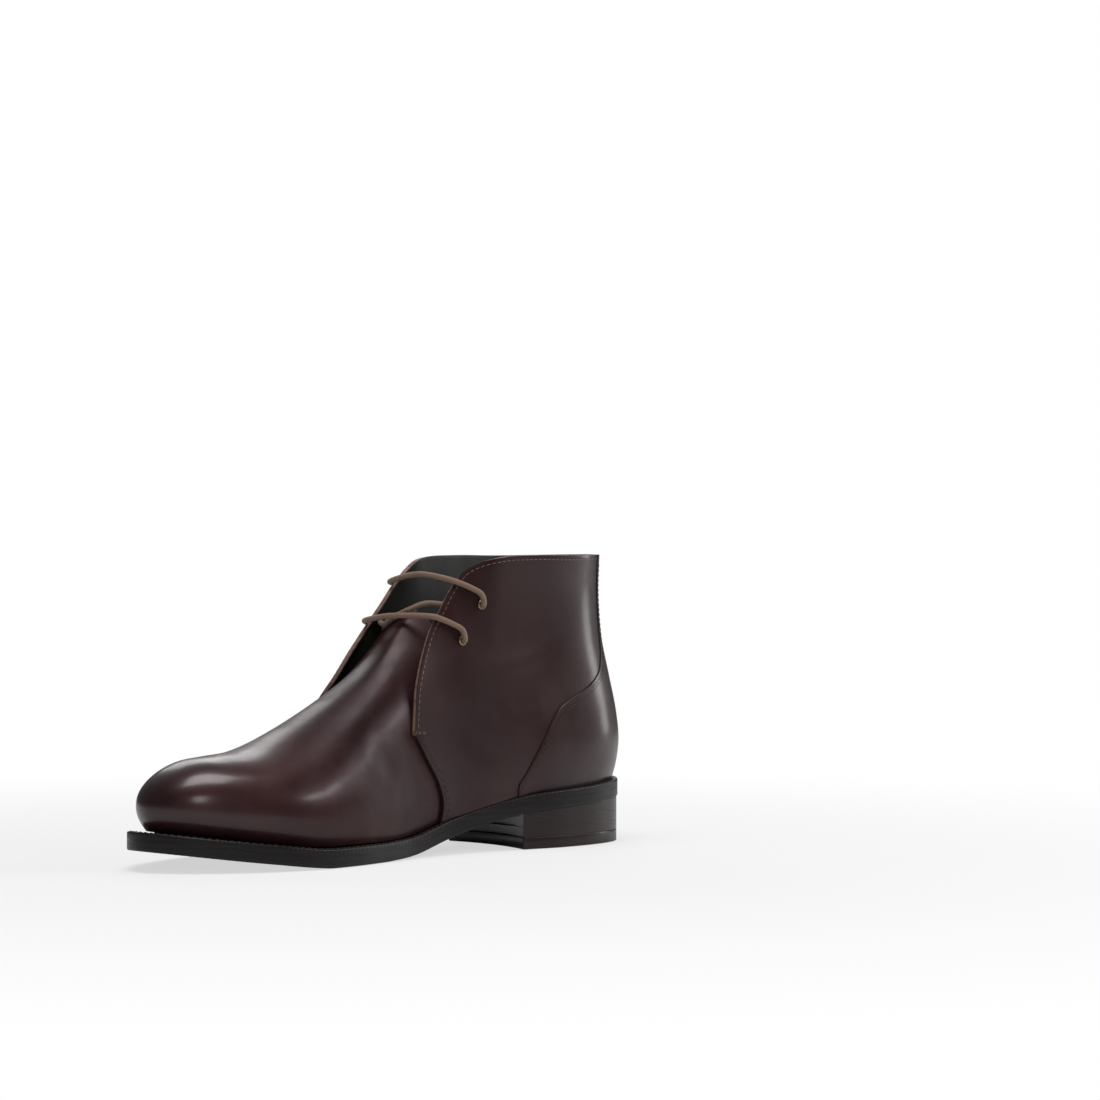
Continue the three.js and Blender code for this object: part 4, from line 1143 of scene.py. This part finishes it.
def roundedProfile(lowRadius, highRadius, height, steps=4):
    # inset and level pairs of an edge rounded below and above, from a ring inside the outline to another
    turns = np.linspace(0, math.pi / 2, steps + 1)
    low = [(lowRadius * (1 - math.sin(t)), lowRadius / height * (1 - math.cos(t))) for t in turns]
    high = [(highRadius * (1 - math.cos(t)), 1 - highRadius / height * (1 - math.sin(t))) for t in turns]
    held = [(0, 2 * lowRadius / height), (0, 1 - 2 * highRadius / height)]
    return [(lowRadius + profileInset, 0)] + low + held + high + [(highRadius + profileInset, 1)]


sole = {"count": 300, "radius": 0.9, "joint": 0.12}
welt = {"count": 620, "radius": 0.8, "play": 0.05, "marks": {"depth": 0.16, "points": 4, "from": 0.55}}
platePiece(soleRing(sole["count"]), soleBottom, outsoleTop,
           roundedProfile(sole["radius"], sole["joint"], form["outsoleThickness"]), "outsole",
           [edgeWax, soleGloss, edgeWax], ["outsole"])
# the welt closes the line between upper and sole and carries fine wheel marks on its top edge
platePiece(soleRing(welt["count"]), lambda y: outsoleTop(y) + welt["play"], weltTop,
           roundedProfile(sole["joint"], welt["radius"], form["weltThickness"]), "welt",
           [edgeWax], ["welt"], welt["marks"])
print("outsole and welt made")

heel = {"length": 86, "inset": 0.8, "hollow": 5, "slant": {-1: 1.0, 1: 0.9}, "topPiece": 6, "lift": 5,
        "seat": 6, "play": 0.02, "radius": 0.08, "count": 90, "breast": 24, "rubberStart": 9,
        "rubberEnd": 44, "closest": 0.2, "joint": 0.05, "rim": 0.4}


def breastY(side):
    return heel["length"] * heel["slant"][side]


def heelRing():
    # medial side from the back to the breast, the hollow breast, lateral side to the back again
    share = 1 - np.cos(math.pi / 2 * np.linspace(0, 1, heel["count"] + 1))
    halves = {}
    for side in (-1, 1):
        y = heel["inset"] + (breastY(side) - heel["inset"]) * share
        halves[side] = np.stack([side * np.maximum(soleHalf(side, y) - heel["inset"], 0), y], -1)
        halves[side][0, 0] = 0
    across = np.linspace(0, 1, heel["breast"] + 1)[1:-1, None]
    front = halves[-1][-1] * (1 - across) + halves[1][-1] * across
    front[:, 1] -= heel["hollow"] * (1 - (2 * across[:, 0] - 1) ** 2)
    return np.concatenate([halves[-1], front, halves[1][:0:-1]])


def flatAt(height):
    return lambda y: np.full(np.shape(y), float(height))


heelOutline = heelRing()
liftTops = [heel["topPiece"] + k * heel["lift"] for k in range(3)]
for name, node, bottom, top, height in (
    ("heelLiftLower", "heel_lift_lower", liftTops[0], flatAt(liftTops[1]), heel["lift"]),
    ("heelLiftMiddle", "heel_lift_middle", liftTops[1], flatAt(liftTops[2]), heel["lift"]),
    ("heelLiftSeat", "heel_lift_seat", liftTops[2], lambda y: soleBottom(y) - heel["play"], heel["seat"]),
):
    platePiece(heelOutline, flatAt(bottom + heel["play"]), top,
               roundedProfile(heel["radius"], heel["radius"], height, 2), name,
               [heelWax], [node])


def cutOutline(ring, behind):
    # part of the heel's outline behind or ahead of the slanting rubber joint
    gap = heel["joint"]
    start = np.array([-float(soleHalf(-1, heel["rubberStart"])), heel["rubberStart"]])
    stop = np.array([float(soleHalf(1, heel["rubberEnd"])), heel["rubberEnd"]])
    across = (stop - start) / np.linalg.norm(stop - start)
    normal = np.array([-across[1], across[0]]) * (-1 if behind else 1)
    kept = []
    for i, point in enumerate(ring):
        following = ring[(i + 1) % len(ring)]
        here, there = (point - start) @ normal - gap, (following - start) @ normal - gap
        if here >= 0:
            kept.append(point)
        if here * there < 0:
            kept.append(point + (following - point) * here / (here - there))
    return np.array([point for i, point in enumerate(kept)
                     if np.linalg.norm(point - kept[i - 1]) > heel["closest"]])


def cornerPiece(ring, name, materials, node):
    # flat plate on the floor with a free outline and a rounded rim, its underside in the last material
    count = len(ring)
    low = np.column_stack([ring, np.zeros(count)])
    high = np.column_stack([ring, np.full(count, heel["topPiece"])])
    faces = [tuple(range(count)), tuple(range(2 * count - 1, count - 1, -1))]
    faces += [((i + 1) % count, i, count + i, count + (i + 1) % count) for i in range(count)]
    kinds = [1] + [0] * (len(faces) - 1)
    piece = meshPiece(name, np.concatenate([low, high]), faces, merge["corner"], materials, kinds)
    roundRim(piece, heel["rim"], 3)
    return finishPiece(piece, name, materials, [node])


cornerPiece(cutOutline(heelOutline, False), "heelTopPiece", [heelWax, soleGloss],
            "heel_top_piece")
cornerPiece(cutOutline(heelOutline, True), "heelRubberCorner", [soleRubber],
            "heel_rubber_corner")
print("heel made")

# Stitches of the sole and nails of the heel

soleThread = {"inset": 7.0, "weltInset": 1.5, "start": 97, "sunk": -0.3,
              "shape": {**stitch, "length": 2.6, "gap": 0.9, "thread": 0.5}}


def soleStitches(inset, height, direction, raised):
    # row that follows the sole's edge round the toe from breast to breast; direction is 1 up and -1 down
    ring = outlineRing(soleRing(sole["count"]), inset)
    ring = ring[ring[:, 1] > soleThread["start"]]
    path = np.column_stack([ring, height(ring[:, 1]) + direction * raised])
    return path, np.tile([0.0, 0.0, float(direction)], (len(path), 1))


stitchPiece([soleStitches(soleThread["inset"], soleBottom, -1, soleThread["sunk"])],
            "channelStitches", paleThread, soleThread["shape"])
stitchPiece([soleStitches(soleThread["weltInset"], weltTop, 1, 0.0)], "weltStitches", darkThread,
            soleThread["shape"])

# five triangles of three nails round the top piece, each by its side and how far forward it is
nails = {"radius": 0.85, "depth": 0.8, "proud": 0.12, "bevel": 0.1, "inset": 9.0, "spread": 4.2,
         "turns": (0.3, 2.4, 4.5), "clusters": [(-1, 76), (-1, 48), (-1, 20), (1, 49), (1, 66)]}


def nailPiece():
    spots = []
    spread = nails["spread"] / 2
    for side, y in nails["clusters"]:
        x = side * (float(soleHalf(side, y)) - nails["inset"])
        spots += [(x + spread * math.cos(turn), y + spread * math.sin(turn)) for turn in nails["turns"]]
    heads = []
    for x, y in spots:
        deselectAll()
        place = toFrame([(x, y, nails["depth"] / 2 - nails["proud"])])[0]
        bpy.ops.mesh.primitive_cylinder_add(vertices=14, radius=nails["radius"] * mm,
                                            depth=nails["depth"] * mm, location=place)
        bpy.ops.object.mode_set(mode="EDIT")
        bpy.ops.mesh.select_all(action="SELECT")
        bpy.ops.mesh.bevel(offset=nails["bevel"] * mm, segments=2)
        bpy.ops.object.mode_set(mode="OBJECT")
        heads.append(bpy.context.object)
    deselectAll()
    for head in heads:
        head.select_set(True)
    bpy.context.view_layer.objects.active = heads[0]
    bpy.ops.object.join()
    bpy.ops.object.transform_apply(location=True, rotation=True, scale=True)
    return finishPiece(bpy.context.object, "heelNails", [agedBrass])


nailPiece()
print("sole stitched, heel nailed")

# Eyelets and lace

# bow and lift move a bar's middle forward and up, medial and lateral are its climb to each facing's edge;
# inside, seat and depth are how far an inner end, a bar's end and an inner run lie under the leather's face
# low and high are a bar's heights over the eyelet, ease its rise and fall round the rim
lace = {"diameter": 2.9, "setback": 20, "inside": 1.1, "seat": 0.45, "depth": 2.3, "overRim": 0.2,
        "low": 0.4, "high": 1.7, "ease": 0.3, "rows": {
            "lower": {"height": 0.71, "bow": 5.0, "lift": 1.5, "medial": 11.0, "lateral": 8.0},
            "upper": {"height": 0.83, "bow": 1.5, "lift": 3.5, "medial": 11.0, "lateral": 10.0},
        }}
# the barrels end under the lining
eyelet = {"outer": 4.7, "bore": 3.1, "thick": 0.7, "barrel": 2.05, "turns": 40}


def overFacing(side, z, back, raised):
    # point over or under a facing, back behind its edge
    return framedPoint(side, facingY(side, z) - back, z, raised)


def eyeletFrame(side, height):
    z = height * form["collarHeight"]
    yz = np.array([facingY(side, z) - lace["setback"], z])
    return surfacePoints(side, yz), surfaceNormals(side, yz)


def eyeletPiece(side, height, name, node):
    point, normal = eyeletFrame(side, height)
    lap = quarter["front"]
    bore, outer, thick = eyelet["bore"] / 2, eyelet["outer"] / 2, eyelet["thick"]
    # radius and height of each ring: up the bore, over the flange and down the barrel's outside
    profile = [(bore, -eyelet["barrel"]), (bore, thick * 0.5), (bore + 0.12, thick * 0.86),
               (bore + 0.4, thick), (outer - 0.5, thick * 0.92), (outer - 0.12, thick * 0.55),
               (outer, 0.05), (bore + 0.3, 0.02), (bore + 0.22, -eyelet["barrel"])]
    across = np.cross(normal, [0, 1, 0])
    across /= np.linalg.norm(across)
    along = np.cross(normal, across)
    turns = np.linspace(0, 2 * math.pi, eyelet["turns"], endpoint=False)
    vertices = [point + normal * (lap + rise) + radius * (math.cos(t) * across + math.sin(t) * along)
                for radius, rise in profile for t in turns]
    count, faces = eyelet["turns"], []
    for k in range(len(profile)):
        a, b = k * count, ((k + 1) % len(profile)) * count
        faces += [(a + i, a + (i + 1) % count, b + (i + 1) % count, b + i) for i in range(count)]
    piece = meshPiece(name, vertices, faces, merge["fine"])
    return finishPiece(piece, name, [agedBrass], [node])


for sideLabel, side in (("Medial", -1), ("Lateral", 1)):
    for rowLabel, row in lace["rows"].items():
        eyeletPiece(side, row["height"], f"eyelet{sideLabel}{rowLabel.capitalize()}",
                    f"eyelet_{sideLabel.lower()}_{rowLabel}")


def barPoints(row):
    resting = quarter["front"] + lace["diameter"] / 2
    overRim = resting + eyelet["thick"] + lace["overRim"]
    ends = {}
    for side, climb in ((-1, row["medial"]), (1, row["lateral"])):
        point, normal = eyeletFrame(side, row["height"])
        heights = (-lace["seat"], lace["low"], quarter["front"] + lace["high"])
        path = [point + normal * rise for rise in heights]
        # places between the eyelet and the facing's edge, as shares of the setback, and heights there
        for back, raised in ((0.8, overRim), (0.45, resting + lace["ease"]), (0.12, resting),
                             (-0.06, resting - lace["ease"])):
            z = row["height"] * form["collarHeight"] + climb * math.sqrt(1 - back)
            path.append(overFacing(side, z, lace["setback"] * back, raised))
        ends[side] = path
    middle = (ends[-1][-1] + ends[1][-1]) / 2 + [0, row["bow"], row["lift"]]
    return ends[-1] + [middle] + ends[1][::-1]


def overTongue(across, rise, raised):
    # point in front of the tongue, across from -1 at the medial edge to 1 at the lateral one
    row = rise / tongue["reach"] * tongue["rows"]
    column = vamp["columns"] * (1 + across)
    r, c = min(int(row), tongue["rows"] - 1), min(int(column), 2 * vamp["columns"] - 1)
    point = tonguePoints[r, c] * (1 - row + r) + tonguePoints[r + 1, c] * (row - r)
    return point + tongueNormals[r, c] * raised


upperZ = lace["rows"]["upper"]["height"] * form["collarHeight"]
lowerZ = lace["rows"]["lower"]["height"] * form["collarHeight"]


def innerRun():
    # inside from the medial upper eyelet, over the tongue, to the lateral lower eyelet; points chosen one by
    # one
    radius, depth, back = lace["diameter"] / 2, lace["depth"], lace["setback"]
    medialPoint, medialNormal = eyeletFrame(-1, lace["rows"]["upper"]["height"])
    return [
        medialPoint - medialNormal * lace["inside"],
        overFacing(-1, upperZ + 0.5, back * 0.6, -depth), overFacing(-1, upperZ + 0.5, back * 0.2, -depth),
        overTongue(-0.4, 1.0, radius + 0.7) + [0, 0, 2.2], overTongue(-0.05, 0.88, radius + 0.5),
        overTongue(0.3, 0.845, radius + 0.4), overTongue(0.6, 0.88, radius + 0.3),
        overFacing(1, lowerZ + 9.5, back * 0.26, -depth), overFacing(1, lowerZ + 8, back * 0.5, -depth),
        overFacing(1, lowerZ + 1, back * 0.9, -depth - 0.6),
    ]


def hiddenEnd(side):
    # inside from a lower eyelet up to its end behind the top one; points chosen one by one
    back = lace["setback"]
    point, normal = eyeletFrame(side, lace["rows"]["lower"]["height"])
    return [point - normal * lace["inside"], overFacing(side, lowerZ + 4, back * 1.05, -3.0),
            overFacing(side, (lowerZ + upperZ) / 2, back * 1.1, -3.2),
            overFacing(side, upperZ - 3.5, back * 1.1, -3.0)]


for name, nodes, points, count in (
    ("laceLower", ["lace_bar_lower"], barPoints(lace["rows"]["lower"]), 150),
    ("laceUpper", ["lace_bar_upper"], barPoints(lace["rows"]["upper"]), 150),
    ("laceInner", ["lace_diagonal"], innerRun(), 150),
    ("laceEndMedial", [], hiddenEnd(-1), 60),
):
    path = smoothPath(points, count)
    finishPiece(cordPiece(path, lace["diameter"]), name, [waxedCord], nodes)
    print(name, "length", round(runLength(path)), "mm")
print("eyelets and lace made")

# Inside

sock = {"inset": 3.2, "rise": 2.6, "sunk": 0.4, "radius": 0.5, "thickness": 3, "count": 120,
        "leftOut": [1, 2, 3, -4, -3, -2]}


def sockRing():
    # outline of the insole, drawn in from the feather edge
    back, tip = heelFoot, featherTip
    shrink = 1 - sock["inset"] / (form["counterWidth"] / 2)
    share = (1 - np.cos(np.linspace(0, math.pi, sock["count"] + 1))) / 2
    edge = back + (tip - back) * share
    y = back + sock["inset"] + (tip - back - 2 * sock["inset"]) * share
    halves = [np.stack([bootX(side, edge, featherHeight(edge)) * shrink, y], -1) for side in (-1, 1)]
    # both ends close in one point, well clear of the next ones
    halves = [np.delete(half, sock["leftOut"], axis=0) for half in halves]
    for half in halves:
        half[0, 0] = half[-1, 0] = 0
    return np.concatenate([halves[0], halves[1][-2:0:-1]])


platePiece(sockRing(), lambda y: weltTop(y) - sock["sunk"], lambda y: featherHeight(y) + sock["rise"],
           roundedProfile(sock["radius"], sock["radius"], sock["thickness"], 2), "insole",
           [liningLeather], ["insole"])
print("insole made")


# Floor, light and camera

# painted light: for camera rays the floor is mixed with a white glow, nearGlow of it near the boot, rising to
# farGlow from fadeFrom to fadeTo metres away; far off the floor runs out into the white backdrop, and near
# the boot its shadows stay pale
ground = {"tone": (0.86, 0.86, 0.86, 1), "roughness": 0.9, "specular": 0.1, "size": 60, "below": 0.0002,
          "fadeFrom": 0.16, "fadeTo": 0.7, "nearGlow": 0.62, "farGlow": 1.0}
room = {"backdrop": 1.0, "light": 0.1}
white = (1, 1, 1, 1)

floorMaterial = bpy.data.materials.new("paleFloor")
floorMaterial.use_nodes = True
floorShader = floorMaterial.node_tree.nodes["Principled BSDF"]
floorShader.inputs["Base Color"].default_value = ground["tone"]
floorShader.inputs["Roughness"].default_value = ground["roughness"]
floorShader.inputs["Specular IOR Level"].default_value = ground["specular"]
floorTree = floorMaterial.node_tree
spot = floorTree.nodes.new("ShaderNodeTexCoord")
reach = floorTree.nodes.new("ShaderNodeVectorMath")
reach.operation = "LENGTH"
floorTree.links.new(spot.outputs["Object"], reach.inputs[0])
far = rampNode(floorTree, reach.outputs["Value"], ground["fadeFrom"], ground["fadeTo"],
               ground["nearGlow"], ground["farGlow"])
# painted light: this white glow makes the floor look lit where no lamp reaches, for camera rays only
glow = floorTree.nodes.new("ShaderNodeEmission")
glow.inputs["Color"].default_value = white
seenFloor = floorTree.nodes.new("ShaderNodeLightPath")
paintedGlowMix = floorTree.nodes.new("ShaderNodeMixShader")
whiter = mathNode(floorTree, "MULTIPLY", far, seenFloor.outputs["Is Camera Ray"])
floorTree.links.new(whiter, paintedGlowMix.inputs[0])
floorTree.links.new(floorShader.outputs[0], paintedGlowMix.inputs[1])
floorTree.links.new(glow.outputs[0], paintedGlowMix.inputs[2])
floorTree.links.new(paintedGlowMix.outputs[0], floorTree.nodes["Material Output"].inputs["Surface"])
deselectAll()
bpy.ops.mesh.primitive_plane_add(size=ground["size"], location=(0, 0, -ground["below"]))
floor = bpy.context.object
floor.name = "floor"
floor.data.materials.append(floorMaterial)

world = bpy.data.worlds.new("studio")
bpy.context.scene.world = world
world.use_nodes = True
worldTree = world.node_tree
backdrop = worldTree.nodes["Background"]
backdrop.inputs["Color"].default_value = white
backdrop.inputs["Strength"].default_value = room["backdrop"]
roomLight = worldTree.nodes.new("ShaderNodeBackground")
roomLight.inputs["Color"].default_value = white
roomLight.inputs["Strength"].default_value = room["light"]
seen = worldTree.nodes.new("ShaderNodeLightPath")
either = worldTree.nodes.new("ShaderNodeMixShader")
worldTree.links.new(seen.outputs["Is Camera Ray"], either.inputs[0])
worldTree.links.new(roomLight.outputs[0], either.inputs[1])
worldTree.links.new(backdrop.outputs[0], either.inputs[2])
worldTree.links.new(either.outputs[0], worldTree.nodes["World Output"].inputs["Surface"])
bpy.context.scene.view_settings.view_transform = "Standard"


def softLight(name, place, target, width, height, power):
    light = bpy.data.lights.new(name, "AREA")
    light.shape = "RECTANGLE"
    light.size, light.size_y = width, height
    light.energy = power
    lamp = bpy.data.objects.new(name, light)
    bpy.context.collection.objects.link(lamp)
    lamp.location = place
    lamp.rotation_euler = (Vector(target) - Vector(place)).to_track_quat("-Z", "Y").to_euler()


# place, what it looks at, width and height in metres, and power in watts
lights = {
    "overhead": ((-0.15, 0.2, 1.5), (0, 0.02, 0.05), 0.9, 0.7, 13),
    "behind": ((1.15, -0.95, 0.95), (0, 0.05, 0.08), 1.3, 0.7, 7),
    "toeSide": ((-1.3, 1.1, 0.75), (0, 0.1, 0.05), 0.4, 0.5, 3.5),
    "heelSide": ((-1.0, -1.05, 0.82), (0, 0, 0.06), 0.9, 0.2, 6),
    "heelBack": ((-0.3, -1.45, 0.4), (0, -0.1, 0.06), 0.26, 0.7, 3),
}
for name, values in lights.items():
    softLight(name, *values)

# the photograph looks level from in front of the medial side
camera = {"azimuth": 43, "distance": 1745, "focalPixels": 3553, "photoWidth": 1100, "sensor": 36,
          "right": 80.7, "up": 149.0}
turn = math.radians(camera["azimuth"])
lookAlong = np.array([math.cos(turn), -math.sin(turn), 0])
rightward = np.array([-math.sin(turn), -math.cos(turn), 0])
target = rightward * camera["right"] + np.array([0, 0, camera["up"]]) - [originShift[0], 0, 0]
place = (target - lookAlong * camera["distance"]) * mm
cameraData = bpy.data.cameras.new("camera")
cameraData.sensor_width = camera["sensor"]
cameraData.lens = camera["focalPixels"] / camera["photoWidth"] * camera["sensor"]
cameraObject = bpy.data.objects.new("camera", cameraData)
bpy.context.collection.objects.link(cameraObject)
cameraObject.location = place.tolist()
cameraObject.rotation_euler = Vector(lookAlong.tolist()).to_track_quat("-Z", "Y").to_euler()
bpy.context.scene.camera = cameraObject
print("stage ready")

# lowest and highest corners of every shown piece but the floor
lows, highs = [], []
for piece in bpy.data.objects:
    if piece.type == "MESH" and piece is not floor and not piece.hide_render:
        corners = np.array([piece.matrix_world @ Vector(corner) for corner in piece.bound_box])
        lows.append(corners.min(axis=0))
        highs.append(corners.max(axis=0))
